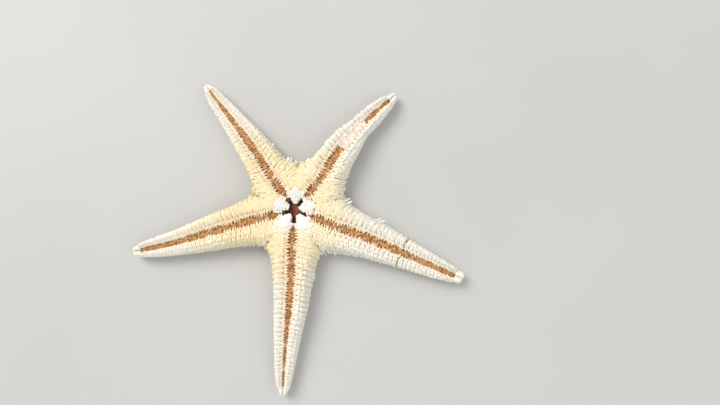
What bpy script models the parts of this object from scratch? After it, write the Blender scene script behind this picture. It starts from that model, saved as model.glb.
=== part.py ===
"""A dried sand star, a starfish with plated, spine-fringed arms, lying on its back at life size.

The mouth side faces up. The origin is under the mouth, on the surface that the body rests on; +Z is up, and
the longest arm points along -Y. Every length below is in metres through MM, and every heading is in degrees,
counted anticlockwise from +X as seen from above.
"""

import math
import random

import bmesh
import bpy
from mathutils import Matrix, Vector

MM = 0.001
GAP = 0.3 * MM  # kept between pieces that touch

# Each arm: name, heading, length from the mouth's centre, sideways bow at half length (positive to the left
# of the heading), sway of its outer part, girth, depth of a pinch in its width, and how pointed its end is.
ARMS = (
    ("arm_front", -92.3, 31.9 * MM, 0.05 * MM, 0.16 * MM, 1.00, 0.0, 0.88),
    ("arm_right", -20.8, 31.1 * MM, 0.24 * MM, 0.10 * MM, 1.08, 0.0, 0.70),
    ("arm_back_right", 51.4, 27.0 * MM, 1.10 * MM, 0.10 * MM, 0.93, 0.30 * MM, 0.88),
    ("arm_back_left", 128.6, 29.3 * MM, -0.32 * MM, -0.10 * MM, 0.92, 0.0, 0.88),
    ("arm_left", 195.0, 31.1 * MM, 0.26 * MM, -0.10 * MM, 1.05, 0.0, 0.88),
)

# The disc, where the arms meet.
DISC_REACH = 6.8 * MM  # from the mouth's centre to the cut where an arm begins
NOTCH_REACH = 7.95 * MM  # to the bottom of the notch between two arms
DISC_HEIGHT = 4.8 * MM

# Half widths and heights along an arm, as (share of the way from its root to its tip, size).
HALF_WIDTHS = (
    (0.0, 4.95 * MM), (0.07, 3.90 * MM), (0.20, 3.32 * MM), (0.40, 2.86 * MM), (0.60, 2.28 * MM),
    (0.80, 1.74 * MM), (0.92, 1.34 * MM), (1.0, 1.0 * MM),
)
HEIGHTS = ((0.0, 4.8 * MM), (0.25, 4.35 * MM), (0.5, 3.75 * MM), (0.8, 2.8 * MM), (1.0, 1.95 * MM))
TIP_LIFT = 0.5 * MM  # how far the end of an arm curls up off the surface
LIFT_FROM = 0.72  # share of the arm where that curl begins
PINCH_AT = 0.60  # share of the arm where a pinched arm is narrowest
PINCH_SPREAD = 0.12

# The furrow down the middle of each arm and the strip of tube feet in it.
FURROW_HALF_WIDTHS = ((0.0, 0.88 * MM), (0.4, 0.74 * MM), (0.7, 0.46 * MM), (1.0, 0.28 * MM))
STRIP_THICKNESS = ((0.0, 1.1 * MM), (1.0, 0.6 * MM))
STRIP_RECESS = ((0.0, 0.55 * MM), (1.0, 0.35 * MM))  # from the strip's top up to the arm's highest line
STRIP_FIRST = 2.7 * MM  # where the strip begins beside the mouth
STRIP_NARROW_TO = 4.4 * MM  # the strip has its full width from here on
STRIP_FIRST_HALF_WIDTH = 0.35 * MM
FOOT_PITCH = 1.0 * MM
FOOT_RISE = 0.16 * MM

# The raised plates that cross each flank, and the spine at the outer end of each.
PLATE_PITCH_ROOT = 1.40 * MM
PLATE_PITCH_TIP = 0.95 * MM
PLATE_RISE = 0.15 * MM
PLATE_SLANT = 0.16  # how far a plate's outer end leans towards the tip, per length sideways
LIP_TOOTH = 0.20 * MM  # how far a plate's inner end leans over the furrow
DISC_PLATES = (5.85 * MM, 4.75 * MM)  # reaches of the plates that continue across the disc
DISC_PLATE_HALF_WIDTH = 0.42 * MM
SPINE_LENGTH_ROOT = 1.15 * MM  # from the flank to the spine's point
SPINE_LENGTH_TIP = 0.55 * MM
SPINE_THICKNESS = 0.62 * MM
SPINE_SINK = 0.75 * MM
SPINE_SWEEP = 52.0  # degrees that a spine leans towards the arm's tip
NOTCH_SPINES = 2  # the first spines on each side stand out further
NOTCH_SPINE_SWEEP = 20.0

# The eye plate that closes each arm.
TIP_LENGTH = 1.45 * MM

# The mouth: a round well with five jaws standing in it round a wrinkled skin.
WELL_RADIUS = 4.1 * MM
WELL_FLOOR = 2.3 * MM
JAW_FIRST = 1.25 * MM
JAW_LAST = 3.75 * MM
JAW_HALF_WIDTH = 0.92 * MM
JAW_RISE = 0.2 * MM  # above the disc
SKIN_INNER = 0.9 * MM
SKIN_OUTER = 2.1 * MM
SKIN_THICKNESS = 0.7 * MM

# The sieve plate, set in the underside between two arms.
SIEVE_HEADING = 15.4
SIEVE_FROM_CENTRE = 5.4 * MM
SIEVE_RADIUS = 0.85 * MM
SIEVE_THICKNESS = 0.8 * MM
SIEVE_CLEAR = 0.1 * MM  # from the surface up to the sieve plate's face

COLOURS = {
    "bone": (0.86, 0.79, 0.62, 0.75),
    "feet": (0.52, 0.24, 0.08, 0.6),
    "jaw": (0.93, 0.91, 0.86, 0.6),
    "skin": (0.16, 0.05, 0.03, 0.7),
}


def along(stations, share):
    """The size at a share of the arm, on a smooth curve through the stations."""
    share = min(max(share, stations[0][0]), stations[-1][0])
    for index in range(len(stations) - 1):
        (start, low), (end, high) = stations[index], stations[index + 1]
        if share <= end:
            before = stations[max(index - 1, 0)]
            after = stations[min(index + 2, len(stations) - 1)]
            step = (share - start) / (end - start)
            slope_in = (high - before[1]) / (end - before[0]) * (end - start)
            slope_out = (after[1] - low) / (after[0] - start) * (end - start)
            square, cube = step * step, step**3
            return (
                low * (2 * cube - 3 * square + 1)
                + slope_in * (cube - 2 * square + step)
                + high * (3 * square - 2 * cube)
                + slope_out * (cube - square)
            )
    return stations[-1][1]


def ease(value):
    """0 below 0, 1 above 1, and smooth between."""
    value = min(max(value, 0.0), 1.0)
    return value * value * (3 - 2 * value)


class Arm:
    """One arm's own sizes, and the places that follow from them."""

    def __init__(self, number):
        name, heading, length, bow, sway, girth, pinch, point = ARMS[number]
        following, previous = ARMS[(number + 1) % 5][1], ARMS[number - 1][1]
        self.to_left = math.radians(((following - heading) % 360) / 2)
        self.to_right = math.radians(((heading - previous) % 360) / 2)
        self.name = name
        self.heading = heading
        self.length = length
        self.bow = bow
        self.sway = sway
        self.girth = girth
        self.pinch = pinch
        self.point = point
        self.turn = Matrix.Rotation(math.radians(heading), 4, "Z")

    def share(self, reach):
        return (reach - DISC_REACH) / (self.length - TIP_LENGTH - DISC_REACH)

    def half_width(self, reach):
        share = self.share(reach)
        slimming = 1 + (self.girth - 1) * ease(share / 0.12)
        pinch = self.pinch * math.exp(-(((share - PINCH_AT) / PINCH_SPREAD) ** 2))
        return along(HALF_WIDTHS, share) * slimming - pinch

    def flank(self, reach, hand):
        """The half width on one side, 1 for left and -1 for right, which stops short of the next arm."""
        spread = self.to_left if hand > 0 else self.to_right
        return min(self.half_width(reach), reach * math.tan(spread) - 0.6 * GAP - hand * self.offset(reach))

    def height(self, reach):
        return along(HEIGHTS, self.share(reach))

    def lift(self, reach):
        return TIP_LIFT * ease((self.share(reach) - LIFT_FROM) / (1 - LIFT_FROM))

    def furrow(self, reach):
        """Half the furrow's width, from its middle to the wall."""
        return along(FURROW_HALF_WIDTHS, self.share(reach)) + GAP

    def strip_top(self, reach):
        return self.height(reach) + self.lift(reach) - along(STRIP_RECESS, self.share(reach))

    def strip_bottom(self, reach):
        return self.strip_top(reach) - along(STRIP_THICKNESS, self.share(reach))

    def offset(self, reach):
        """How far the arm's middle line lies to the left of its heading."""
        share = max(reach - DISC_REACH, 0.0) / (self.length - DISC_REACH)
        return self.bow * math.sin(math.pi * share) + self.sway * math.sin(2 * math.pi * share)

    def place(self, reach, side, height):
        """The point this far along the arm, to its left and up."""
        step = 0.1 * MM
        slope = (self.offset(reach + step) - self.offset(reach - step)) / (2 * step)
        slope *= ease((reach - DISC_REACH) / (3 * MM))
        return self.turn @ Vector((reach - slope * side, self.offset(reach) + side, height))


def section(half_width, height, furrow, floor, relief):
    """Half of an arm's outline from the furrow's floor over the flank to the underside, as (side, height).

    relief is 1 on the crest of a plate and -1 between two plates.
    """
    flank = half_width - furrow
    rise = PLATE_RISE * relief * min(1.0, flank / (2.0 * MM))
    return (
        (furrow, floor),
        (furrow - LIP_TOOTH * max(relief, 0.0), height - 0.28 * MM),
        (furrow + 0.20 * flank, height + 0.4 * rise),
        (furrow + 0.50 * flank, 0.985 * height + rise),
        (furrow + 0.78 * flank, 0.86 * height + rise),
        (furrow + 0.95 * flank + 0.5 * rise, 0.66 * height + 0.5 * rise),
        (half_width + rise, 0.46 * height),
        (0.95 * half_width + rise, 0.24 * height),
        (0.80 * half_width, 0.07 * height),
        (0.50 * half_width, 0.0),
    )


def plate_lines(arm, first, last):
    """Where the plates' crests lie between two reaches."""
    lines = []
    reach = first
    while reach < last:
        lines.append(reach)
        pitch = PLATE_PITCH_ROOT + (PLATE_PITCH_TIP - PLATE_PITCH_ROOT) * arm.share(reach)
        reach += pitch
    return lines


def finish_mesh(name, mesh_data, colour):
    """An object with this mesh, its faces turned outwards and its own material."""
    bmesh.ops.remove_doubles(mesh_data, verts=mesh_data.verts, dist=0.001 * MM)
    bmesh.ops.recalc_face_normals(mesh_data, faces=mesh_data.faces)
    mesh = bpy.data.meshes.new(name)
    mesh_data.to_mesh(mesh)
    mesh_data.free()
    made = bpy.data.objects.new(name, mesh)
    bpy.context.scene.collection.objects.link(made)
    mesh.materials.append(material(name, *COLOURS[colour]))
    return made


def material(name, red, green, blue, roughness):
    made = bpy.data.materials.new(name)
    made.use_nodes = True
    shader = made.node_tree.nodes["Principled BSDF"]
    shader.inputs["Base Color"].default_value = (red, green, blue, 1.0)
    shader.inputs["Roughness"].default_value = roughness
    shader.inputs["Metallic"].default_value = 0.0
    return made


def loft(mesh_data, rings):
    """Joins closed rings of as many points each, and caps the first and the last."""
    rows = [[mesh_data.verts.new(point) for point in ring] for ring in rings]
    count = len(rows[0])
    for row, following in zip(rows, rows[1:]):
        for index in range(count):
            after = (index + 1) % count
            mesh_data.faces.new((row[index], row[after], following[after], following[index]))
    mesh_data.faces.new(rows[0])
    mesh_data.faces.new(reversed(rows[-1]))


def solid_from_rings(name, rings, colour):
    mesh_data = bmesh.new()
    loft(mesh_data, rings)
    return finish_mesh(name, mesh_data, colour)


def largest_surface(mesh_data):
    """Deletes all but the largest closed surface."""
    left = set(mesh_data.faces)
    groups = []
    while left:
        group = {left.pop()}
        edge = list(group)
        while edge:
            face = edge.pop()
            for line in face.edges:
                for other in line.link_faces:
                    if other in left:
                        left.discard(other)
                        group.add(other)
                        edge.append(other)
        groups.append(group)
    groups.sort(key=lambda group: sum(face.calc_area() for face in group))
    spare = [face for group in groups[:-1] for face in group]
    bmesh.ops.delete(mesh_data, geom=spare, context="FACES")


def combine(body, pieces, operation):
    """Joins the pieces to the body, or cuts them out of it, and removes them."""
    group = bpy.data.collections.new(body.name + "_pieces")
    bpy.context.scene.collection.children.link(group)
    for piece in pieces:
        bpy.context.scene.collection.objects.unlink(piece)
        group.objects.link(piece)
    change = body.modifiers.new("combine", "BOOLEAN")
    change.operation = operation
    change.solver = "EXACT"
    change.operand_type = "COLLECTION"
    change.collection = group
    bpy.context.view_layer.update()
    graph = bpy.context.evaluated_depsgraph_get()
    mesh_data = bmesh.new()
    mesh_data.from_mesh(body.evaluated_get(graph).to_mesh())
    body.modifiers.remove(change)
    largest_surface(mesh_data)
    bmesh.ops.triangulate(mesh_data, faces=mesh_data.faces)
    mesh_data.to_mesh(body.data)
    mesh_data.free()
    for piece in pieces:
        bpy.data.objects.remove(piece)
    bpy.data.collections.remove(group)


def make_spine(name, root, direction, length, thickness):
    """A four-sided spine that narrows to its tip, its root sunk behind the point where it starts."""
    direction = direction.normalized()
    across = direction.cross(Vector((0, 0, 1))).normalized()
    upward = across.cross(direction)
    rings = []
    for share, size in ((-SPINE_SINK / length, 1.0), (0.45, 0.92), (1.0, 0.45)):
        centre = root + direction * (length * share)
        half = thickness / 2 * size
        rings.append([centre + across * (half * x) + upward * (half * y)
                      for x, y in ((1, 0), (0, 1), (-1, 0), (0, -1))])
    return solid_from_rings(name, rings, "bone")


def arm_spines(arm, crests):
    """The fringe: a spine at the outer end of each plate, on both sides."""
    chance = random.Random(arm.name)
    spines = []
    for hand in (1, -1):
        for number, reach in enumerate(crests[:-1]):
            share = arm.share(reach)
            length = SPINE_LENGTH_ROOT + (SPINE_LENGTH_TIP - SPINE_LENGTH_ROOT) * share**0.7
            length *= chance.uniform(0.75, 1.2)
            edge = arm.flank(reach, hand) + PLATE_RISE
            slanted = reach + PLATE_SLANT * edge * ease((reach - DISC_REACH) / (4 * MM))
            root = arm.place(slanted, hand * edge, 0.47 * arm.height(reach) + arm.lift(reach))
            sweep = NOTCH_SPINE_SWEEP if 0 < number <= NOTCH_SPINES else SPINE_SWEEP
            lean = math.radians(sweep + chance.uniform(-9, 9))
            outward = Vector((math.sin(lean), hand * math.cos(lean), chance.uniform(0.05, 0.3)))
            thickness = SPINE_THICKNESS * (1 - 0.12 * share)
            name = f"{arm.name}_spine_{'left' if hand > 0 else 'right'}_{number}"
            spines.append(make_spine(name, root, arm.turn.to_3x3() @ outward, length, thickness))
    return spines


def arm_ring(arm, reach, relief):
    """The ring of points round the arm at this reach, its plates leaning towards the tip."""
    furrow, lift = arm.furrow(reach), arm.lift(reach)
    floor = arm.strip_bottom(reach) - GAP - lift
    slant = PLATE_SLANT * ease((reach - DISC_REACH) / (4 * MM)) * (relief != 0)
    halves = []
    for hand in (1, -1):
        half = section(arm.flank(reach, hand), arm.height(reach), furrow, floor, relief)
        halves.append([
            arm.place(reach + slant * max(side - furrow, 0.0), hand * side, height + lift)
            for side, height in half
        ])
    return halves[0] + halves[1][::-1]


def make_arm(arm):
    """An arm from the disc to its eye plate, with the furrow open along its upper side."""
    first = DISC_REACH + GAP / 2
    last = arm.length - TIP_LENGTH - GAP / 2
    crests = plate_lines(arm, first + 0.75 * MM, last - 0.7 * MM)
    rings = [arm_ring(arm, first, 0.0)]
    for crest, following in zip(crests, [*crests[1:], None]):
        rings.append(arm_ring(arm, crest, 1.0))
        if following:
            rings.append(arm_ring(arm, (crest + following) / 2, -1.0))
    rings.append(arm_ring(arm, last, 0.0))
    body = solid_from_rings(arm.name, rings, "bone")
    combine(body, arm_spines(arm, crests), "UNION")
    return body


def make_strip(arm):
    """The two rows of tube feet along the furrow, as one strip with a staggered top."""
    last = arm.length - TIP_LENGTH - GAP / 2
    count = round((last - STRIP_FIRST) / FOOT_PITCH)
    rings = []
    for number in range(count + 1):
        reach = STRIP_FIRST + (last - STRIP_FIRST) * number / count
        full = along(FURROW_HALF_WIDTHS, arm.share(reach))
        opening = ease((reach - STRIP_FIRST) / (STRIP_NARROW_TO - STRIP_FIRST))
        half = STRIP_FIRST_HALF_WIDTH + (full - STRIP_FIRST_HALF_WIDTH) * min(1.0, opening)
        top, bottom = arm.strip_top(reach), arm.strip_bottom(reach)
        rise = FOOT_RISE if number % 2 else -0.3 * FOOT_RISE
        fall = -0.3 * FOOT_RISE if number % 2 else FOOT_RISE
        outline = (
            (half, bottom), (half, top - 0.15 * MM), (0.55 * half, top + rise), (0.0, top - 0.12 * MM),
            (-0.55 * half, top + fall), (-half, top - 0.15 * MM), (-half, bottom),
        )
        rings.append([arm.place(reach, side, height) for side, height in outline])
    return solid_from_rings(arm.name + "_tube_feet", rings, "feet")


def make_tip(arm):
    """The eye plate: two rounded lobes with the end of the furrow between them."""
    first = arm.length - TIP_LENGTH + GAP / 2
    rings = []
    for share in (0.0, 0.35, 0.65, 0.87, 1.0):
        reach = first + (arm.length - first) * share
        roundness = math.sqrt(1 - (arm.point * share) ** 2)
        base = arm.length - TIP_LENGTH
        half_width = arm.half_width(base) * roundness
        height = arm.height(base) * (0.35 + 0.65 * roundness)
        lift = arm.lift(base) + 0.5 * (arm.height(base) - height)
        notch = 0.3 * half_width
        outline = (
            (0.0, 0.62 * height), (notch, 0.70 * height), (1.2 * notch, 0.92 * height),
            (0.62 * half_width, height), (0.92 * half_width, 0.8 * height), (half_width, 0.48 * height),
            (0.78 * half_width, 0.1 * height),
            (0.4 * half_width, 0.0),
        )
        ring = [*outline, *((-side, up) for side, up in reversed(outline[1:]))]
        rings.append([arm.place(reach, side, lift + up) for side, up in ring])
    return solid_from_rings(arm.name + "_eye_plate", rings, "bone")


def disc_heights(point, arms):
    """The disc's lower and upper surface at a point, which match the arms' roots."""
    heading = math.degrees(math.atan2(point.y, point.x))
    arm = min(arms, key=lambda one: abs((heading - one.heading + 180) % 360 - 180))
    side = (arm.turn.inverted() @ point).y
    root = arm.flank(DISC_REACH, 1 if side > 0 else -1)
    outline = section(root, DISC_HEIGHT, arm.furrow(DISC_REACH), 0.0, 0.0)
    upper, lower = outline[2:7], outline[:5:-1]
    return height_on(lower, abs(side)), height_on(upper, abs(side))


def height_on(outline, side):
    """The height on an outline of (side, height) points with rising sides."""
    if side <= outline[0][0]:
        return outline[0][1]
    for (start, low), (end, high) in zip(outline, outline[1:]):
        if side <= end:
            return low + (high - low) * (side - start) / (end - start)
    return outline[-1][1]


def disc_plates(arm):
    """The raised plates beside the furrow that lie on the disc."""
    plates = []
    for hand, spread in ((1, arm.to_left), (-1, arm.to_right)):
        upper = section(arm.flank(DISC_REACH, hand), DISC_HEIGHT, arm.furrow(DISC_REACH), 0.0, 0.0)[2:7]
        for number, reach in enumerate(DISC_PLATES):
            first = arm.furrow(DISC_REACH) + 0.2 * MM
            last = reach * math.tan(spread) - 1.6 * DISC_PLATE_HALF_WIDTH
            rings = []
            for share in (0.0, 0.3, 0.75, 1.0):
                side = first + (last - first) * share
                half = DISC_PLATE_HALF_WIDTH * (1.0 if 0 < share < 1 else 0.6)
                top = height_on(upper, side) + PLATE_RISE * (1.0 if 0 < share < 1 else 0.4)
                root = top - 0.5 * MM
                outline = ((-half, root), (-0.6 * half, top), (0.6 * half, top), (half, root))
                rings.append([arm.place(reach + step, hand * side, height) for step, height in outline])
            name = f"{arm.name}_disc_plate_{'left' if hand > 0 else 'right'}_{number}"
            plates.append(solid_from_rings(name, rings, "bone"))
    return plates


def disc_edge(heading, arms):
    """How far the disc reaches from the mouth's centre at a heading, up to the nearest arm's cut."""
    nearest = max(math.cos(math.radians(heading - arm.heading)) for arm in arms)
    return min((DISC_REACH - GAP / 2) / nearest, NOTCH_REACH)


def disc_blank(arms):
    """The disc before its well and furrows are cut: five flat sides, with rounded corners between arms."""
    shares = (0.0, 0.5, 0.78, 0.92, 1.0)
    steps = 50
    mesh_data = bmesh.new()
    rows = {True: [], False: []}
    first_heading = arms[0].heading
    for share in shares[1:]:
        for is_top in (True, False):
            row = []
            for step in range(steps):
                heading = first_heading + 360 * step / steps
                reach = disc_edge(heading, arms) * share
                angle = math.radians(heading)
                point = Vector((reach * math.cos(angle), reach * math.sin(angle), 0.0))
                low, high = disc_heights(point, arms)
                point.z = high if is_top else low
                row.append(mesh_data.verts.new(point))
            rows[is_top].append(row)
    for is_top in (True, False):
        centre = mesh_data.verts.new((0.0, 0.0, disc_heights(Vector((0, 0, 0)), arms)[is_top]))
        for step in range(steps):
            after = (step + 1) % steps
            mesh_data.faces.new((centre, rows[is_top][0][step], rows[is_top][0][after]))
            for row, outer in zip(rows[is_top], rows[is_top][1:]):
                mesh_data.faces.new((row[step], outer[step], outer[after], row[after]))
    for step in range(steps):
        after = (step + 1) % steps
        top, bottom = rows[True][-1], rows[False][-1]
        mesh_data.faces.new((top[step], bottom[step], bottom[after], top[after]))
    return finish_mesh("disc", mesh_data, "bone")


def cylinder(name, centre, radius, low, high, sides):
    mesh_data = bmesh.new()
    bmesh.ops.create_cone(
        mesh_data, cap_ends=True, segments=sides, radius1=radius, radius2=radius, depth=high - low,
        matrix=Matrix.Translation((centre.x, centre.y, (low + high) / 2)),
    )
    return finish_mesh(name, mesh_data, "bone")


def furrow_cutter(arm):
    """What opens the furrow across the disc, from inside the well to past the arm's cut."""
    rings = []
    for reach in (WELL_RADIUS - 1.0 * MM, DISC_REACH + 1.0 * MM):
        half = arm.furrow(DISC_REACH)
        low = arm.strip_bottom(DISC_REACH) - GAP
        high = DISC_HEIGHT + 1.0 * MM
        outline = ((half, low), (half, high), (-half, high), (-half, low))
        rings.append([arm.place(reach, side, height) for side, height in outline])
    return solid_from_rings(arm.name + "_furrow_cutter", rings, "bone")


def sieve_centre():
    angle = math.radians(SIEVE_HEADING)
    return Vector((SIEVE_FROM_CENTRE * math.cos(angle), SIEVE_FROM_CENTRE * math.sin(angle), 0.0))


def make_disc(arms):
    """The disc with its raised plates, the mouth's well, five furrows and the seat of the sieve plate."""
    disc = disc_blank(arms)
    combine(disc, [plate for arm in arms for plate in disc_plates(arm)], "UNION")
    centre = Vector((0, 0, 0))
    cutters = [cylinder("well_cutter", centre, WELL_RADIUS, WELL_FLOOR, DISC_HEIGHT + 1.0 * MM, 40)]
    combine(disc, cutters, "DIFFERENCE")
    for arm in arms:
        combine(disc, [furrow_cutter(arm)], "DIFFERENCE")
    seat_top = SIEVE_CLEAR + SIEVE_THICKNESS + GAP
    seat = cylinder("seat_cutter", sieve_centre(), SIEVE_RADIUS + GAP, -1.0 * MM, seat_top, 16)
    combine(disc, [seat], "DIFFERENCE")
    return disc


def make_sieve_plate():
    """The button-like plate that lets water into the animal's canals."""
    top = SIEVE_CLEAR + SIEVE_THICKNESS
    plate = cylinder("sieve_plate", sieve_centre(), SIEVE_RADIUS, SIEVE_CLEAR, top, 16)
    mesh_data = bmesh.new()
    mesh_data.from_mesh(plate.data)
    low = SIEVE_CLEAR + 0.01 * MM
    rim = [edge for edge in mesh_data.edges if all(vert.co.z < low for vert in edge.verts)]
    bmesh.ops.bevel(
        mesh_data, geom=rim, offset=0.2 * MM, segments=1, profile=0.5, affect="EDGES", material=-1
    )
    mesh_data.to_mesh(plate.data)
    mesh_data.free()
    return plate


def make_jaw(number, heading):
    """One of the five jaws: a pair of plates, joined along the middle, that narrows towards the mouth."""
    stations = (
        (0.0, 0.42, 0.55), (0.14, 0.70, 0.85), (0.40, 0.95, 1.0),
        (0.70, 1.0, 1.0), (0.9, 0.8, 0.93), (1.0, 0.55, 0.8),
    )
    low = WELL_FLOOR + GAP
    rise = DISC_HEIGHT + JAW_RISE - low
    turn = Matrix.Rotation(math.radians(heading), 4, "Z")
    rings = []
    for share, width, tall in stations:
        reach = JAW_FIRST + (JAW_LAST - JAW_FIRST) * share
        half = JAW_HALF_WIDTH * width
        top = low + rise * tall
        outline = (
            (0.0, top - 0.22 * MM), (0.45 * half, top), (0.85 * half, top - 0.12 * MM),
            (half, top - 0.45 * MM), (half, low), (-half, low), (-half, top - 0.45 * MM),
            (-0.85 * half, top - 0.12 * MM), (-0.45 * half, top),
        )
        rings.append([turn @ Vector((reach, side, height)) for side, height in outline])
    return solid_from_rings(f"jaw_{number}", rings, "jaw")


def make_mouth_skin(arms):
    """The dried skin on the well's floor, a five-pointed star between the jaws."""
    mesh_data = bmesh.new()
    low = WELL_FLOOR + GAP
    points = {True: [], False: []}
    for number in range(10):
        arm = arms[number // 2]
        reach = SKIN_OUTER if number % 2 == 0 else SKIN_INNER
        angle = math.radians(arm.heading) + (arm.to_left if number % 2 else 0.0)
        for is_top in (True, False):
            height = low + (SKIN_THICKNESS * 0.6 if is_top else 0.0)
            spot = (reach * math.cos(angle), reach * math.sin(angle), height)
            points[is_top].append(mesh_data.verts.new(spot))
    for is_top in (True, False):
        centre = mesh_data.verts.new((0, 0, low + (SKIN_THICKNESS if is_top else 0.0)))
        for number in range(10):
            mesh_data.faces.new((centre, points[is_top][number], points[is_top][(number + 1) % 10]))
    upper, lower = points[True], points[False]
    for number in range(10):
        after = (number + 1) % 10
        mesh_data.faces.new((upper[number], lower[number], lower[after], upper[after]))
    return finish_mesh("mouth_skin", mesh_data, "skin")


def main():
    for old in list(bpy.data.objects):
        bpy.data.objects.remove(old)
    arms = [Arm(number) for number in range(5)]
    make_disc(arms)
    for arm in arms:
        make_arm(arm)
        make_strip(arm)
        make_tip(arm)
    for number, arm in enumerate(arms):
        make_jaw(number + 1, arm.heading + math.degrees(arm.to_left))
    make_mouth_skin(arms)
    make_sieve_plate()


main()
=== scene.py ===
# %% [markdown]
# # A dried sand star
#
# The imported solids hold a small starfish, a sand star, that lies on its back with its mouth up. This lesson
# dresses them: one skin for the whole body, and over it the plates, scales, spines and dried tube feet that
# make the animal. Most of these are tiny and repeat hundreds of times, so nearly every cell makes one small
# shape and then lays many copies of it along the arms.
#
# The first cell loads the solids as a frame that stays fixed, and keeps the box that they fill.

# %% The frame
import math
import random

import bmesh
import bpy
import numpy as np
from mathutils import Matrix, Vector, noise


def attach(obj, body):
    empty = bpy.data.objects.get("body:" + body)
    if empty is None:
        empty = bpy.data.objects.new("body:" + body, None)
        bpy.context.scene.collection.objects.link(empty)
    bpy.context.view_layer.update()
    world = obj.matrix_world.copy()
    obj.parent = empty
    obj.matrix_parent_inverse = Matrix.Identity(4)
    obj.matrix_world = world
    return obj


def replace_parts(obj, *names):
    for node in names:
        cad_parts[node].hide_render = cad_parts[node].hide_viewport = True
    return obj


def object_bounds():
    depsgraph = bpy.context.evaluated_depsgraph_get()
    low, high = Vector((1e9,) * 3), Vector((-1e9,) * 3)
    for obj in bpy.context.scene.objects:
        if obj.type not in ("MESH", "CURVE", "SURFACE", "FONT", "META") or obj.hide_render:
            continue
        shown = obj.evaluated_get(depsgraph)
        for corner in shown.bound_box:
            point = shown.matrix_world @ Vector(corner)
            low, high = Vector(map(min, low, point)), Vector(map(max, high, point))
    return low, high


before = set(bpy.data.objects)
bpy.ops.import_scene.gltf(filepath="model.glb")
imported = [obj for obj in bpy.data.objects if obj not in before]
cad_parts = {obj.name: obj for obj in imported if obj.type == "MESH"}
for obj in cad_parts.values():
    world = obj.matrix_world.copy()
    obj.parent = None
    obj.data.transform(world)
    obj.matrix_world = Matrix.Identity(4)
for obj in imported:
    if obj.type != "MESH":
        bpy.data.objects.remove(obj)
SOLIDS_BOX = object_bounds()
MM = 0.001
sides = [round(side / MM, 1) for side in SOLIDS_BOX[1] - SOLIDS_BOX[0]]
print(len(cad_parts), "solids fill", sides, "mm")

# %% [markdown]
# ## The arms' sizes
#
# Every copy is placed by how far along an arm it sits, on which side, and how far round the arm. So the arms'
# sizes come first, the same as in the solids: a width and a height that shrink towards the tip, a slight bow,
# and a furrow down the middle. A size that changes along an arm is given at a few stations, as a share of the
# way from the disc to the tip and the size there.

# %% Sizes of the body
# name, heading in degrees, length, bow, sway, girth, and how deep the waist is
ARMS = (
    ("arm_front", -92.3, 31.9 * MM, 0.05 * MM, 0.16 * MM, 1.00, 0.0),
    ("arm_right", -20.8, 31.1 * MM, 0.24 * MM, 0.10 * MM, 1.08, 0.0),
    ("arm_back_right", 51.4, 27.0 * MM, 1.10 * MM, 0.10 * MM, 0.93, 0.30 * MM),
    ("arm_back_left", 128.6, 29.3 * MM, -0.32 * MM, -0.10 * MM, 0.92, 0.0),
    ("arm_left", 195.0, 31.1 * MM, 0.26 * MM, -0.10 * MM, 1.05, 0.0),
)
# for each arm, how far the ribs' inner ends reach over the furrow, in mm, at its root and at its end
LIPS_OVER = ((0.08, 0.16), (0.03, -0.12), (0.03, 0.0), (0.07, 0.03), (0.05, -0.07))
GAP = 0.3 * MM
DISC_REACH = 6.8 * MM
NOTCH_REACH = 7.95 * MM
HALF_WIDTHS = (
    (0.0, 4.95 * MM), (0.07, 3.90 * MM), (0.20, 3.32 * MM), (0.40, 2.86 * MM), (0.60, 2.28 * MM),
    (0.80, 1.74 * MM), (0.92, 1.34 * MM), (1.0, 1.0 * MM),
)
HEIGHTS = ((0.0, 4.8 * MM), (0.25, 4.35 * MM), (0.5, 3.75 * MM), (0.8, 2.8 * MM), (1.0, 1.95 * MM))
TIP_LIFT, LIFT_FROM = 0.5 * MM, 0.72
PINCH_AT, PINCH_SPREAD = 0.60, 0.12
FURROW_HALF_WIDTHS = ((0.0, 0.88 * MM), (0.4, 0.74 * MM), (0.7, 0.46 * MM), (1.0, 0.28 * MM))
TIP_LENGTH = 1.45 * MM
LIP_TOOTH = 0.20 * MM
# how much a rib leans to the tip, at these distances from the mouth
SLANTS = ((3 * MM, 0.10), (6 * MM, 0.30), (9 * MM, 0.26), (14 * MM, 0.14), (32 * MM, 0.10))
print("the longest arm is", round(max(size[2] for size in ARMS) / MM, 1), "mm long")

# %% [markdown]
# Between two stations a size follows a smooth curve. Straight runs would be simpler, but they leave corners
# that show along an arm's edge.

# %% Smooth curves
def along(stations, share):
    """The size at a share of the way, on a smooth curve through the stations."""
    share = min(max(share, stations[0][0]), stations[-1][0])
    index = next(i for i in range(len(stations) - 1) if share <= stations[i + 1][0])
    (start, low), (end, high) = stations[index], stations[index + 1]
    before = stations[max(index - 1, 0)]
    after = stations[min(index + 2, len(stations) - 1)]
    step = (share - start) / (end - start)
    slope_in = (high - before[1]) / (end - before[0]) * (end - start)
    slope_out = (after[1] - low) / (after[0] - start) * (end - start)
    square, cube = step * step, step**3
    return (
        low * (2 * cube - 3 * square + 1)
        + slope_in * (cube - 2 * square + step)
        + high * (3 * square - 2 * cube)
        + slope_out * (cube - square)
    )


def ease(value):
    """0 below 0, 1 above 1, and smooth between."""
    value = min(max(value, 0.0), 1.0)
    return value * value * (3 - 2 * value)


def bell(value):
    """1 at 0, and soon 0 on both sides of it."""
    return math.exp(-(value**2))


print("halfway an arm is", round(2 * along(HALF_WIDTHS, 0.5) / MM, 1), "mm wide")

# %% [markdown]
# ## A way round the arm
#
# An arm's outline is eleven points: up the furrow's wall to its lip, over the flank to the edge, and under it
# to the middle of the back. `around` counts them from the lip, so -1 is down the wall, 5 the widest place and
# 9 the middle of the back, and a smooth curve runs between them. With `reach`, the distance from the mouth,
# and `hand`, 1 for the arm's left side and -1 for its right, it names every place on the surface.

# %% The arm as a surface
EDGE, BACK = 5, 9


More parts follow.
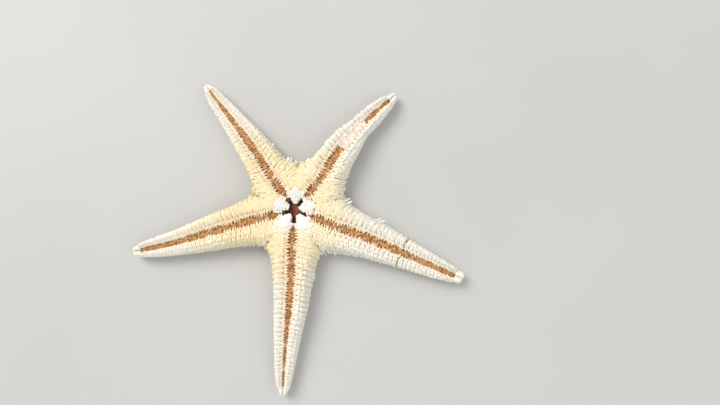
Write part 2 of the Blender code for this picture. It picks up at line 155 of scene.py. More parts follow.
class Arm:
    """One arm's sizes, and the places on its surface."""

    def __init__(self, number):
        name, heading, length, bow, sway, girth, pinch = ARMS[number]
        following, previous = ARMS[(number + 1) % 5][1], ARMS[number - 1][1]
        self.number = number
        self.spread = {
            1: math.radians(((following - heading) % 360) / 2),
            -1: math.radians(((heading - previous) % 360) / 2),
        }
        self.name, self.heading, self.length = name, heading, length
        self.bow, self.sway, self.girth, self.pinch = bow, sway, girth, pinch
        self.lips_over = LIPS_OVER[number]
        self.turn = Matrix.Rotation(math.radians(heading), 4, "Z")
        self.midway = Matrix.Rotation(math.radians(heading) + self.spread[1], 4, "Z")

    def share(self, reach):
        return (reach - DISC_REACH) / (self.length - TIP_LENGTH - DISC_REACH)

    def half_width(self, reach):
        """Half the arm's width, which the girth slims or widens and the waist pinches."""
        share = self.share(reach)
        slimming = 1 + (self.girth - 1) * ease(share / 0.12)
        pinch = self.pinch * bell((share - PINCH_AT) / PINCH_SPREAD)
        return along(HALF_WIDTHS, share) * slimming - pinch

    def flank(self, reach, hand):
        """The half width on one side, which stops short of the next arm."""
        reach = max(reach, DISC_REACH)
        limit = reach * math.tan(self.spread[hand]) - 0.6 * GAP - hand * self.offset(reach)
        return min(self.half_width(reach), limit)

    def height(self, reach):
        return along(HEIGHTS, self.share(reach))

    def lift(self, reach):
        """How far the arm's end curls up from the floor."""
        return TIP_LIFT * ease((self.share(reach) - LIFT_FROM) / (1 - LIFT_FROM))

    def top(self, reach):
        return self.height(reach) + self.lift(reach)

    def furrow(self, reach):
        return along(FURROW_HALF_WIDTHS, self.share(reach)) + GAP

    def lip(self, reach):
        """How far the ribs' inner ends are from the arm's middle line."""
        root, end = self.lips_over
        return self.furrow(reach) - (root + (end - root) * min(max(self.share(reach), 0.0), 1.0)) * MM

    def offset(self, reach):
        """How far the arm's middle line lies to the left, from its bow and sway."""
        share = max(reach - DISC_REACH, 0.0) / (self.length - DISC_REACH)
        return self.bow * math.sin(math.pi * share) + self.sway * math.sin(2 * math.pi * share)

    def place(self, reach, side, height):
        """The point this far along the arm, to its left and up."""
        step = 0.1 * MM
        slope = (self.offset(reach + step) - self.offset(reach - step)) / (2 * step)
        slope *= ease((reach - DISC_REACH) / (3 * MM))
        return self.turn @ Vector((reach - slope * side, self.offset(reach) + side, height))

    def outline(self, reach, hand):
        """From the furrow's wall to the middle of the back, as (side, height)."""
        lip, height = self.lip(reach), self.height(reach)
        half_width = self.flank(reach, hand)
        flank = half_width - lip
        return (
            (lip - LIP_TOOTH, height - 0.9 * MM), (lip - 0.5 * LIP_TOOTH, height - 0.28 * MM),
            (lip + 0.20 * flank, height), (lip + 0.50 * flank, 0.985 * height),
            (lip + 0.78 * flank, 0.86 * height), (lip + 0.95 * flank, 0.66 * height),
            (half_width, 0.46 * height), (0.95 * half_width, 0.24 * height),
            (0.80 * half_width, 0.07 * height), (0.50 * half_width, 0.0), (0.0, 0.0),
        )

    def curve(self, reach, hand, around, sunk):
        """The outline's smooth curve this far round, moved inwards by sunk, as a (side, height) vector."""
        points = self.outline(reach, hand)
        index = min(max(math.floor(around) + 1, 0), len(points) - 2)
        before, start, end, after = (
            Vector(points[min(max(i, 0), len(points) - 1)]) for i in range(index - 1, index + 3)
        )
        step = around + 1 - index
        bend, twist = 2 * before - 5 * start + 4 * end - after, 3 * start - before - 3 * end + after
        curve = 0.5 * (2 * start + (end - before) * step + bend * step**2 + twist * step**3)
        if sunk:
            slope = end - before + 2 * bend * step + 3 * twist * step**2
            curve += Vector((slope.y, -slope.x)).normalized() * sunk
        return curve

    def surface(self, reach, hand, around, sunk=0.0, slanted=True):
        """The point of the surface at this reach and this far round; a rib's outer end leans to the tip."""
        curve = self.curve(reach, hand, around, sunk)
        if slanted:
            reach += along(SLANTS, reach) * max(curve.x - self.lip(reach), 0.0)
            curve = self.curve(reach, hand, around, sunk)
        return self.place(reach, hand * curve.x, max(curve.y, 0.0) + self.lift(reach))


def arm_named(name):
    return next(arm for arm in arms if arm.name == name)


arms = [Arm(number) for number in range(len(ARMS))]
print("arms reach", [round(arm.length / MM, 1) for arm in arms], "mm")

# %% [markdown]
# ## Pieces
#
# A shape is worked on as a bmesh, and turned into a mesh once it is done. The mesh becomes an object that
# rides on the starfish's one body.

# %% From a bmesh to a piece
def as_mesh(small, name):
    """The mesh of a bmesh, which is freed."""
    mesh = bpy.data.meshes.new(name)
    small.to_mesh(mesh)
    small.free()
    return mesh


def joined(parts, name):
    """One mesh of several bmeshes, which are freed."""
    whole = bmesh.new()
    for part in parts:
        mesh = as_mesh(part, name + "_part")
        whole.from_mesh(mesh)
        bpy.data.meshes.remove(mesh)
    return as_mesh(whole, name)


def as_shape(small):
    """The points and triangles of a bmesh, which is freed."""
    bmesh.ops.triangulate(small, faces=small.faces)
    bmesh.ops.recalc_face_normals(small, faces=small.faces)
    points = np.array([vert.co[:] for vert in small.verts])
    triangles = np.array([[vert.index for vert in face.verts] for face in small.faces])
    small.free()
    return points, triangles


def add_piece(mesh, material):
    """Shows a finished mesh as a piece of the starfish."""
    mesh.shade_smooth()
    mesh.materials.append(material)
    piece = bpy.data.objects.new(mesh.name, mesh)
    bpy.context.scene.collection.objects.link(piece)
    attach(piece, "root")
    print(mesh.name, "has", len(mesh.polygons), "faces")
    return piece


# %% [markdown]
# ## Many copies as one mesh
#
# A few thousand scales as separate objects would be slow, and instances don't survive an export. So a `Coat`
# holds one small shape as arrays of points and triangles, takes a transform for each copy, and makes them all
# one mesh at the end. Each copy keeps a random tone for its colour, how far the furrow has stained it, and a
# small patch of its own on a flat unwrap of the body.

# %% Copies along the arms
PATCH = 0.003
UNWRAP_LENGTH = 33 * MM
TOP_EASE, TOP_CLEAR = 0.24 * MM, 0.01 * MM


def under_top(heights):
    """Eases heights near the solids' top below it, so that no two faces end level with each other."""
    knee = SOLIDS_BOX[1].z - TOP_EASE - TOP_CLEAR
    over = np.maximum(heights - knee, 0.0)
    return np.maximum(np.minimum(heights, knee) + TOP_EASE * (1 - np.exp(-over / TOP_EASE)), 0.0)


class Coat:
    """Collects copies of one small shape, and makes them one mesh."""

    def __init__(self, name, shape):
        self.name = name
        self.shape = shape
        self.copies, self.maps, self.tones, self.stains = [], [], [], []

    def add(self, points, root, tone, stain=0.0):
        """One copy's points; root is its place on the unwrap, or one place for each of its points."""
        patch = (self.shape[0][:, :2] - 0.25) * PATCH if root.ndim == 1 else 0
        self.copies.append(points)
        self.maps.append(root + patch)
        self.tones.append(tone)
        self.stains.append(np.broadcast_to(stain, len(points)))

    def lay(self, seat, size, lean, rise, tone, roll=0.0, stain=0.0):
        """A copy on a seat, with this length, width and thickness."""
        self.add(seat.stand(self.shape, size, lean, rise, roll), seat.root, tone, stain)

    def make(self, material):
        """One piece of all the copies."""
        count = len(self.shape[0])
        points = np.concatenate(self.copies)
        points[:, 2] = under_top(points[:, 2])
        triangles = np.concatenate([self.shape[1] + count * i for i in range(len(self.copies))])
        mesh = bpy.data.meshes.new(self.name)
        mesh.from_pydata(points, [], triangles)
        corners = np.concatenate(self.maps)[triangles.ravel()]
        mesh.uv_layers.new(name="OFBake").data.foreach_set("uv", corners.astype(np.float32).ravel())
        keep(mesh, "tone", np.repeat(self.tones, count))
        keep(mesh, "share", np.tile(self.shape[0][:, 0], len(self.copies)))
        keep(mesh, "stain", np.concatenate(self.stains))
        print(self.name, "has", len(self.copies), "copies")
        add_piece(mesh, material)


def keep(mesh, name, values):
    """A number at every point, which a finish can read by its name."""
    mesh.attributes.new(name, "FLOAT", "POINT").data.foreach_set("value", values.astype(np.float32))


def unwrapped(arm, reach, hand, around):
    """Where a place on an arm lies on the flat unwrap of the body: a strip for each arm."""
    return np.array((0.1 + 0.2 * arm.number + hand * (0.004 + 0.09 * around / BACK), reach / UNWRAP_LENGTH))


# %% [markdown]
# `Seat` is a place on the skin with its directions: along the arm, down the flank, and straight out. It turns
# a size, a lean and a rise into the points of a copy there. A lean of 0 points down the flank and 90 towards
# the arm's tip; a rise of 90 stands straight up.

# %% A place for a copy
# how far along and round the arm the next place is, from which the directions are taken
NEXT_REACH, NEXT_AROUND = 0.2 * MM, 0.08


class Seat:
    """A point on an arm's surface, with the directions there."""

    def __init__(self, arm, reach, hand, around, sunk=0.0):
        self.origin = arm.surface(reach, hand, around)
        self.tipward = (arm.surface(reach + NEXT_REACH, hand, around) - self.origin).normalized()
        step = NEXT_AROUND if around < BACK - 0.1 else -NEXT_AROUND
        beside = (arm.surface(reach, hand, around + step) - self.origin).normalized()
        self.outward = beside * math.copysign(1, step)
        self.out = (self.tipward.cross(self.outward) * hand).normalized()
        self.origin -= self.out * sunk
        self.root = unwrapped(arm, reach, hand, around)
        self.hand = hand

    def stand(self, shape, size, lean, rise, roll):
        """The points of a copy, sized, leaned, raised and rolled."""
        flat = self.outward * math.cos(math.radians(lean)) + self.tipward * math.sin(math.radians(lean))
        flat = (flat - self.out * flat.dot(self.out)).normalized()
        forward = flat * math.cos(math.radians(rise)) + self.out * math.sin(math.radians(rise))
        upward = self.out * math.cos(math.radians(rise)) - flat * math.sin(math.radians(rise))
        across = forward.cross(upward) * self.hand
        upward = upward * math.cos(math.radians(roll)) + across * math.sin(math.radians(roll))
        axes = np.array((forward, upward.cross(forward), upward)) * np.array(size)[:, None]
        return shape[0] @ axes + np.array(self.origin)


# %% [markdown]
# Nearly every small piece of the animal is a rod of chalk, stout or slim. One function makes them all from a
# ball, since a ball is closed, has few faces, and only needs its length and its ends' bluntness changed.

# %% A rod, and even steps to set it at
def rod(sides, rings, blunt, taper=0.0):
    """A rod from 0 to 1 along X and half a unit wide each way: a ball whose length is stretched."""
    small = bmesh.new()
    bmesh.ops.create_uvsphere(small, u_segments=sides, v_segments=rings, radius=1.0)
    for vert in small.verts:
        share = 0.5 + 0.5 * vert.co.z
        wide = math.hypot(vert.co.x, vert.co.y)
        full = max(wide, 1e-6)
        width = 0.5 * wide ** blunt * (1 - taper * share)
        vert.co = Vector((share, vert.co.x / full * width, vert.co.y / full * width))
    return as_shape(small)


def pace(arm, reach, hand, first, last):
    """How far along the surface some places lie, from first round to last."""
    steps = np.linspace(first, last, 25)
    places = np.array([arm.surface(reach, hand, step) for step in steps])
    strides = np.linalg.norm(np.diff(places, axis=0), axis=1)
    return steps, np.concatenate(([0.0], np.cumsum(strides)))


def evenly(arm, reach, hand, first, last, spacing):
    """Places round the arm, from first to last, that are about this far apart on the surface."""
    if last <= first:
        return []
    steps, far = pace(arm, reach, hand, first, last)
    count = max(1, round(far[-1] / spacing))
    return [float(np.interp(far[-1] * (i + 0.5) / count, far, steps)) for i in range(count)]


# %% [markdown]
# ## Finishes as arithmetic
#
# A material in Blender is a graph of nodes, and a long one is hard to read when it is built link by link. So
# a `Wire` stands for a node's output here and answers to Python's own signs, and `warm * 0.8 + 0.1` adds the
# two Math nodes by itself. Any other node comes from `Finish.node`.

# %% A small language for finishes
class Wire:
    """A node's output that Python's arithmetic signs work on."""

    def __init__(self, finish, socket):
        self.finish, self.socket = finish, socket

    def __add__(self, other):
        return self.finish.math("ADD", self, other)

    def __radd__(self, other):
        return self.finish.math("ADD", other, self)

    def __sub__(self, other):
        return self.finish.math("SUBTRACT", self, other)

    def __rsub__(self, other):
        return self.finish.math("SUBTRACT", other, self)

    def __mul__(self, other):
        return self.finish.math("MULTIPLY", self, other)

    def __rmul__(self, other):
        return self.finish.math("MULTIPLY", other, self)


# %% [markdown]
# A `Finish` is one material. Its short methods are the few things that every finish of this animal needs:
# noise with blotches of a given size, a limit, a mix of two colours, and the distance from the mouth.

# %% A material under construction
class Finish:
    """A material and the nodes that it is made of."""

    def __init__(self, name, roughness):
        self.material = bpy.data.materials.new(name)
        self.material.use_nodes = True
        self.nodes, self.links = self.material.node_tree.nodes, self.material.node_tree.links
        self.shader = self.nodes["Principled BSDF"]
        self.shader.inputs["Roughness"].default_value = roughness
        self.shader.inputs["Specular IOR Level"].default_value = 0.3
        self.place = self.node("ShaderNodeTexCoord", output="Object")

    def feed(self, socket, value):
        if isinstance(value, Wire):
            self.links.new(value.socket, socket)
        else:
            socket.default_value = value

    def node(self, kind, settings=None, sockets=None, output=0):
        """Any node: its settings first, then what its sockets get."""
        made = self.nodes.new(kind)
        for key, value in (settings or {}).items():
            setattr(made, key, value)
        for key, value in (sockets or {}).items():
            self.feed(made.inputs[key], value)
        return Wire(self, made.outputs[output])

    def math(self, operation, *values):
        return self.node("ShaderNodeMath", {"operation": operation}, dict(enumerate(values)))

    def limit(self, value, low, high):
        """0 where the value is low, 1 where it is high, and smooth between."""
        sockets = {"Value": value, "From Min": low, "From Max": high}
        return self.node("ShaderNodeMapRange", {"interpolation_type": "SMOOTHSTEP"}, sockets)

    def mix(self, share, first, second):
        """One colour turning into another."""
        sockets = {0: share, 6: first, 7: second}
        return self.node("ShaderNodeMix", {"data_type": "RGBA"}, sockets, output=2)

    def mottle(self, size, detail=3.0):
        """Noise whose blotches have about this size in metres."""
        sockets = {"Vector": self.place, "Scale": 1 / size, "Detail": detail}
        return self.node("ShaderNodeTexNoise", None, sockets)

    def blotches(self, size, low, high, detail=3.0):
        """1 on the blotches of such a noise and 0 between them."""
        return self.limit(self.mottle(size, detail), low, high)

    def from_mouth(self):
        """The distance from the mouth, in metres, whatever the height."""
        flat = self.node("ShaderNodeVectorMath", {"operation": "MULTIPLY"}, {0: self.place, 1: (1, 1, 0)})
        return self.node("ShaderNodeVectorMath", {"operation": "LENGTH"}, {0: flat}, output="Value")

    def kept(self, name):
        """A number that a coat keeps: a copy's own tone or stain, or the share of the way to its end."""
        return self.node("ShaderNodeAttribute", {"attribute_name": name}, output="Fac")

    def along(self, axis):
        """The place along an axis, in metres."""
        return self.node("ShaderNodeSeparateXYZ", None, {0: self.place}, output=axis)

    def end(self, colour, grain=None, depth=0.03 * MM):
        """Feeds the shader, and gives the material."""
        self.feed(self.shader.inputs["Base Color"], colour)
        if grain is not None:
            bump = self.node("ShaderNodeBump", None, {"Strength": 0.6, "Distance": depth, "Height": grain})
            self.feed(self.shader.inputs["Normal"], bump)
        return self.material


# %% [markdown]
# ## The colours
#
# The dried plates are chalk: cream where some skin is left on them, on the disc, and whiter towards the tips
# and on the jaws. The furrow is orange brown from dried tube feet, and stains the plates beside it peach.
# Nothing shines. The skin under the plates is darker than they are, partly its own dried brown and partly
# painted shade, so that the cracks between them read as fine brown lines.

# %% Colours
IVORY = (0.93, 0.80, 0.50, 1)
CHALK = (0.94, 0.92, 0.83, 1)
STRAW = (0.90, 0.71, 0.42, 1)
BONE_WHITE = (0.91, 0.91, 0.87, 1)
# SHADE is the skin's brown deepened as painted shade for the cracks between the plates
SHADE = (0.56, 0.41, 0.22, 1)
RUST = (0.50, 0.25, 0.085, 1)
AMBER = (0.62, 0.34, 0.135, 1)
BURNT = (0.30, 0.13, 0.04, 1)
JAW_WHITE = (0.77, 0.76, 0.71, 1)
PEACH = (0.90, 0.60, 0.38, 1)
BLUSH = (0.86, 0.70, 0.59, 1)
# the mouth skin towards its edge: its own dark red deepened to near black as painted shade under the jaws
LIVER_EDGE_SHADE = (0.15, 0.035, 0.022, 1)
HIDE = (0.86, 0.72, 0.47, 1)
CREAM = (0.95, 0.84, 0.62, 1)
RUSSET = (0.34, 0.115, 0.042, 1)


def chalky(name, warm=IVORY, pale=CHALK):
    """Warm by the disc and on the left, pale far out and on the right, and white before the mouth.

    Every copy is a little different, and those beside the furrow are stained by it.
    """
    finish = Finish(name, 0.78)
    blotch = (finish.mottle(3.2 * MM) - 0.5) * (9 * MM)
    far = finish.limit(finish.from_mouth() + finish.along("X") * 0.35 + blotch, 5 * MM, 18 * MM)
    near = finish.limit(finish.from_mouth() + blotch * 0.3, 6.2 * MM, 3.4 * MM)
    near = near * finish.limit(finish.along("Y"), 1.5 * MM, -1.5 * MM) * 0.6
    colour = finish.mix(near, finish.mix(far, warm, pale), BONE_WHITE)
    stain = finish.blotches(1.1 * MM, 0.54, 0.78, 4.0) * 0.30
    colour = finish.mix(stain, colour, STRAW)
    colour = finish.mix(finish.limit(finish.kept("tone"), 0.62, 1.0) * 0.25, colour, pale)
    colour = finish.mix(finish.limit(finish.kept("tone"), 0.30, 0.0) * 0.15, colour, STRAW)
    peach = finish.kept("stain") * finish.blotches(0.8 * MM, 0.25, 0.65)
    colour = finish.mix(peach, colour, PEACH)
    return finish.end(colour, finish.mottle(0.12 * MM, 4.0), 0.025 * MM)


plate_finish = chalky("chalky_plates")
scale_finish = chalky("chalky_scales")
spine_finish = chalky("pale_spines", warm=CHALK, pale=BONE_WHITE)
jaw_finish = chalky("white_jaws", warm=JAW_WHITE, pale=JAW_WHITE)


def skin_and_crack_shade_colours():
    """Dried skin, its brown deepened as painted shade for the cracks between the plates."""
    finish = Finish("dried_skin", 0.85)
    colour = finish.mix(finish.blotches(0.9 * MM, 0.30, 0.7), SHADE, HIDE)
    return finish.end(colour, finish.mottle(0.2 * MM, 4.0), 0.05 * MM)


def furrow_colours_with_root_shade(name, low, high):
    """The furrow's orange brown in darker patches, and on the feet painted shade at their roots that fades to
    amber at their ends.
    """
    finish = Finish(name, 0.7)
    patches = finish.blotches(0.7 * MM, low, high, 4.0)
    # painted shade: a tube foot is darker at its root, low in the furrow, and lighter amber towards its end
    ends = finish.limit(finish.kept("tone") * 0.5 + finish.kept("share") * 0.7, 0.2, 1.1)
    colour = finish.mix(ends, finish.mix(patches, BURNT, RUST), AMBER)
    return finish.end(colour, finish.mottle(0.15 * MM, 4.0), 0.04 * MM)


skin_and_crack_shade_finish = skin_and_crack_shade_colours()
bed_finish = furrow_colours_with_root_shade("furrow_bed", 0.50, 0.75)
foot_finish = furrow_colours_with_root_shade("tube_feet", 0.25, 0.52)
print(len(bpy.data.materials), "materials so far")

# %% [markdown]
# ## The skin under the plates
#
# On the animal the plates sit on one leathery skin. Arms and disc are separate solids in the frame, so their
# seams would show between the plates. So a grid is bent round each arm and another over the disc, and a voxel
# remesh turns them all into one closed skin, which lies a little inside the solids.

# %% The skin round each arm
SKIN_DEPTH = 0.30 * MM
SKIN_VOXEL = 0.2 * MM
# how thick the dried feet in the furrow are and how far below its lips, from the disc to the tip
STRIP_THICKNESS = ((0.0, 1.1 * MM), (1.0, 0.6 * MM))
STRIP_RECESS = ((0.0, 0.55 * MM), (1.0, 0.35 * MM))
MOUTH_REACH = 1.9 * MM
MOUTH_FLOOR = 2.5 * MM
WALL_SUNK, LIP_SUNK = 0.12 * MM, 0.6 * MM
# how much of the way round, from the back up to the furrow, is flank
FLANK_SHARE = 0.84


def bent_grid(across, lengthwise, place):
    """A grid whose points move to place(u, v), with u and v from 0 to 1; open ends are closed."""
    small = bmesh.new()
    bmesh.ops.create_grid(small, x_segments=across, y_segments=lengthwise, size=0.5)
    for vert in small.verts:
        vert.co = place(vert.co.x + 0.5, vert.co.y + 0.5)
    bmesh.ops.remove_doubles(small, verts=small.verts, dist=0.002 * MM)
    bmesh.ops.holes_fill(small, edges=[edge for edge in small.edges if edge.is_boundary])
    bmesh.ops.recalc_face_normals(small, faces=small.faces)
    return small


def strip_top(arm, reach):
    """The height of the dried feet in the furrow."""
    return arm.top(reach) - along(STRIP_RECESS, arm.share(reach))


def strip_bottom(arm, reach):
    """The height of the furrow's floor under them."""
    return strip_top(arm, reach) - along(STRIP_THICKNESS, arm.share(reach))


def skin_point(arm, turn, reach):
    """A point of the skin round an arm; turn goes from the back over one flank, the furrow and the other."""
    hand = 1 if turn < 0.5 else -1
    climb = 1 - abs(2 * turn - 1)
    if climb < FLANK_SHARE:
        return arm.surface(reach, hand, BACK * (1 - climb / FLANK_SHARE), SKIN_DEPTH, slanted=False)
    fall = (climb - FLANK_SHARE) / (1 - FLANK_SHARE)
    wall = arm.furrow(reach) + WALL_SUNK
    lip = arm.top(reach) - LIP_SUNK
    height = lip + (strip_bottom(arm, reach) - lip) * min(2 * fall, 1.0)
    return arm.place(reach, hand * wall * min(2 - 2 * fall, 1.0), height)


def arm_skin(arm):
    """The skin round one arm, from inside the disc to inside the end plate."""
    first, last = DISC_REACH - 0.6 * MM, arm.length - TIP_LENGTH + 0.2 * MM
    return bent_grid(72, 110, lambda u, v: skin_point(arm, u, first + (last - first) * v))


arm_skins = [arm_skin(arm) for arm in arms]
print("the arms' skins have", sum(len(skin.faces) for skin in arm_skins), "faces")

# %% [markdown]
# The disc's skin is a grid bent from the middle of the back over the rim to the mouth. It takes its height
# from the nearest arm, so that it runs on into the arms without a step.

# %% The disc's skin, and all of it as one
def disc_heights(arm, side, hand):
    """The skin's lower and upper height on the disc, this far from an arm's middle line."""
    outline = arm.outline(DISC_REACH, hand)
    over, under = outline[2:7], outline[:5:-1]
    low = np.interp(side, [point[0] for point in under], [point[1] for point in under])
    high = np.interp(side, [point[0] for point in over], [point[1] for point in over])
    return low + SKIN_DEPTH, high - SKIN_DEPTH


def away(arm, heading):
    """How far a heading is to the left of an arm, in degrees."""
    return (heading - arm.heading + 180) % 360 - 180


def nearest_arm(heading):
    return min(arms, key=lambda arm: abs(away(arm, heading)))


def disc_point(turn, climb):
    """A point of the disc's skin; climb goes from the middle of the back over the rim to the mouth."""
    heading = 360 * turn
    arm = nearest_arm(heading)
    rim = min(DISC_REACH / math.cos(math.radians(heading - arm.heading)), NOTCH_REACH) - SKIN_DEPTH
    reach = rim * (1 - abs(2 * climb - 1))
    spot = Matrix.Rotation(math.radians(heading), 4, "Z") @ Vector((reach, 0, 0))
    across = (arm.turn.inverted() @ spot).y
    low, high = disc_heights(arm, abs(across), 1 if across > 0 else -1)
    if climb < 0.5:
        return spot + Vector((0, 0, low))
    floor = strip_bottom(arm, DISC_REACH)
    wall = ease((abs(across) - arm.furrow(DISC_REACH)) / (0.2 * MM))
    height = floor + (high - floor) * wall
    height = MOUTH_FLOOR + (height - MOUTH_FLOOR) * ease((reach - MOUTH_REACH) / (0.6 * MM))
    return spot + Vector((0, 0, height))


def make_skin():
    parts = arm_skins + [bent_grid(300, 80, disc_point)]
    skin = add_piece(joined(parts, "skin"), skin_and_crack_shade_finish)
    remesh = skin.modifiers.new("one_surface", "REMESH")
    remesh.mode = "VOXEL"
    remesh.voxel_size = SKIN_VOXEL
    remesh.use_smooth_shade = True
    graph = bpy.context.evaluated_depsgraph_get()
    skin.data = bpy.data.meshes.new_from_object(skin.evaluated_get(graph))
    skin.modifiers.clear()
    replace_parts(skin, "disc", *(arm.name for arm in arms))
    print("the skin, remeshed, has", len(skin.data.polygons), "faces")


make_skin()

# %% [markdown]
# ## The ribs
#
# On its mouth side each arm is crossed by a ladder of plates, about thirty on each side of the furrow. They
# stand closer towards the tip, and their outer ends lean that way. On the disc they run out to the line
# midway to the next arm, so that they meet its ribs in a chevron. A rib could be cut from the arm's own
# surface, but a stretched ball bent along the flank has round edges at once. One arm has cracked across,
# which is no more than a wider step between two ribs.

# %% Ribs across the arms
RIB_FIRST = 3.7 * MM
RIB_PITCHES = ((0.0, 0.98 * MM), (0.5, 0.80 * MM), (0.85, 0.62 * MM), (1.0, 0.44 * MM))
# how far round a rib begins, how far it goes, and from where on it counts as reaching the arm's edge
RIB_START, RIB_END = -0.85, EDGE + 0.25
EDGE_AROUND = RIB_END - 0.15
RIB_CLEAR = 0.06 * MM
RIB_RISE = 0.13 * MM
RIB_THICKNESS = 0.80 * MM
LIP_STAIN = 0.35
CRACKED_ARM = "arm_right"
CRACK_REACH = 19.3 * MM
CRACK_WIDTH = 0.30 * MM


def rib_pitch(arm, reach):
    """The distance from a rib to the next."""
    return along(RIB_PITCHES, arm.share(reach))


def rib_lines(arm):
    """Where the ribs cross an arm; the cracked arm has a gap between two of them."""
    lines, reach = [], RIB_FIRST
    while reach < arm.length - TIP_LENGTH:
        lines.append(reach)
        step = rib_pitch(arm, reach)
        if is_cracked(arm, reach):
            step += CRACK_WIDTH
        reach += step
    return lines


def is_cracked(arm, reach):
    """Whether the crack follows the rib here."""
    return arm.name == CRACKED_ARM and reach < CRACK_REACH <= reach + rib_pitch(arm, reach)


def margin(arm, reach, hand):
    """How far round a rib goes: to the arm's edge, or on the disc to midway to the next arm."""
    around = RIB_END
    while around > 0.6:
        spot = arm.turn.inverted() @ arm.surface(reach, hand, around)
        if abs(spot.y) <= spot.x * math.tan(arm.spread[hand]) - RIB_CLEAR:
            break
        around -= 0.1
    return around


def each_rib(some):
    """Every rib of some arms: its arm, reach, side and pitch, and how far round it goes."""
    for arm in some:
        for reach in rib_lines(arm):
            for hand in (1, -1):
                yield arm, reach, hand, rib_pitch(arm, reach), margin(arm, reach, hand)


def bar(shape, arm, reach, hand, ends, width, thickness, rise):
    """The points of a stretched ball bent round the arm, and their places on the unwrap."""
    first, last = ends
    steps, far = pace(arm, reach, hand, first, last)
    points, maps = [], []
    for share, side, up in shape[0]:
        around = float(np.interp(share * far[-1], far, steps))
        seat = Seat(arm, reach - hand * side * width, hand, around)
        points.append(seat.origin + seat.out * (rise + (up - 0.5) * thickness))
        maps.append(seat.root)
    return np.array(points), np.array(maps)


def make_ribs():
    chance = random.Random("ribs")
    coat = Coat("ribs", rod(8, 9, 0.22))
    stain = LIP_STAIN * np.clip(1 - coat.shape[0][:, 0] / 0.3, 0, 1)
    for arm, reach, hand, pitch, last in each_rib(arms):
        width = pitch * chance.uniform(0.93, 0.98)
        ends = (RIB_START, last)
        points, maps = bar(coat.shape, arm, reach, hand, ends, width, RIB_THICKNESS, RIB_RISE)
        coat.add(points, maps, chance.random(), stain)
    coat.make(plate_finish)


make_ribs()

# %% [markdown]
# ## Scales on the ribs
#
# Under a lens each rib carries rows of short flat rods, which lie along it with their free ends outwards.
# They give the arms their fibrous, slightly ragged look, which a bump map can't give at the edges. The rows
# are filled at even steps along the flank, and each rod has a little of its own size, lean and lift. Between
# two ribs on an arm there are few, so that the ribs show; on the disc there are many finer ones, so that it
# looks smooth.

# %% Scales in rows
# how far from a rib's middle line, in pitches, how deep, and how far rolled towards the gap, in degrees
GAP_ROW = 0.5
SCALE_ROWS = ((-0.30, 0.03 * MM, -28), (0.0, -0.07 * MM, 0), (0.30, 0.03 * MM, 28), (GAP_ROW, 0.07 * MM, 0))
GAP_SCALES = 0.10
SCALE_STEP = 0.56 * MM
SCALE_SIZE = (1.15 * MM, 0.42 * MM, 0.10 * MM)
SCALE_STAIN_TO = 1.3
DISC_EDGE = 6.0 * MM
DISC_FADE = 3.0 * MM
scale_shape = rod(6, 4, 0.40, taper=0.2)


def varied(chance, size, spread=0.15):
    """A size a little larger or smaller each way."""
    return tuple(length * chance.uniform(1 - spread, 1 + spread) for length in size)


def make_scales(arm):
    chance = random.Random(arm.name + "_scales")
    coat = Coat(arm.name + "_scales", scale_shape)
    for arm, reach, hand, pitch, last in each_rib([arm]):
        shrink = pitch / RIB_PITCHES[0][1]
        fine = 1 - ease((reach - DISC_EDGE) / DISC_FADE)
        length = SCALE_SIZE[0] * shrink * (1 - 0.35 * fine)
        step = SCALE_STEP * shrink * (1 - 0.3 * fine)
        end = last - 0.2 if last > EDGE_AROUND else last + 0.1
        filled = max(GAP_SCALES, 0.7 * fine)
        for row, depth, roll in SCALE_ROWS:
            line = reach + row * pitch
            for around in evenly(arm, line, hand, 0.12, end, step):
                if row == GAP_ROW and (is_cracked(arm, reach) or chance.random() > filled):
                    continue
                seat = Seat(arm, line, hand, around + chance.uniform(-0.10, 0.10), depth)
                size = varied(chance, (length, SCALE_SIZE[1] * shrink, SCALE_SIZE[2]))
                lean = chance.uniform(-4, 5) * (1 + 2 * fine) + 10 * row
                rise = chance.uniform(1, 5) * (1 + fine)
                stain = LIP_STAIN * max(1 - around / SCALE_STAIN_TO, 0.0)
                coat.lay(seat, size, lean, rise, chance.random(), roll, stain)
    coat.make(scale_finish)


for arm in arms:
    make_scales(arm)

# %% [markdown]
# ## The fringe of spines
#
# The outer end of each rib carries flat spines that lie close along the arm and point to its tip. In the
# notches between the arms, and at a few places where something has bent them, they stand out further. They
# are copies of one rod, three to a rib, because so many of them are seen at once that only their lean counts.

# %% Spines along the edges
FRINGE_AROUND = (4.40, 4.78, 5.15)
FRINGE_LENGTH_ROOT = 0.92 * MM
FRINGE_LENGTH_TIP = 0.44 * MM
FRINGE_WIDTH = 0.34 * MM
FRINGE_THICKNESS = 0.26 * MM
FRINGE_DEPTH = 0.08 * MM
FRINGE_ROW = 0.20
# longer by, how far the spines lean to the tip, and how far they stand out
LYING = (1.0, 62.0, 16.0)
NOTCHED = (0.95, 50.0, 34.0)
NOTCH_TO = 9.6 * MM
# arm, side, first and last reach, and the same three numbers for the spines there
RAISED = (
    ("arm_front", -1, 7.0 * MM, 15.0 * MM, (1.1, 50.0, 30.0)),
    ("arm_front", 1, 7.0 * MM, 13.0 * MM, (1.05, 52.0, 28.0)),
    ("arm_right", -1, 5.6 * MM, 8.0 * MM, (1.35, 36.0, 40.0)),
    ("arm_right", -1, 8.0 * MM, 12.0 * MM, (1.2, 50.0, 34.0)),
    ("arm_back_left", -1, 6.4 * MM, 8.0 * MM, (1.35, 14.0, 46.0)),
    ("arm_back_right", 1, 6.2 * MM, 7.8 * MM, (1.35, 14.0, 46.0)),
)
spine_shape = rod(6, 6, 0.55, taper=0.35)


def stance(arm, hand, reach):
    """How much longer a spine is here than the others, how it leans and how it rises."""
    for name, side, first, last, numbers in RAISED:
        if arm.name == name and hand == side and first <= reach <= last:
            return numbers
    return NOTCHED if reach < NOTCH_TO else LYING


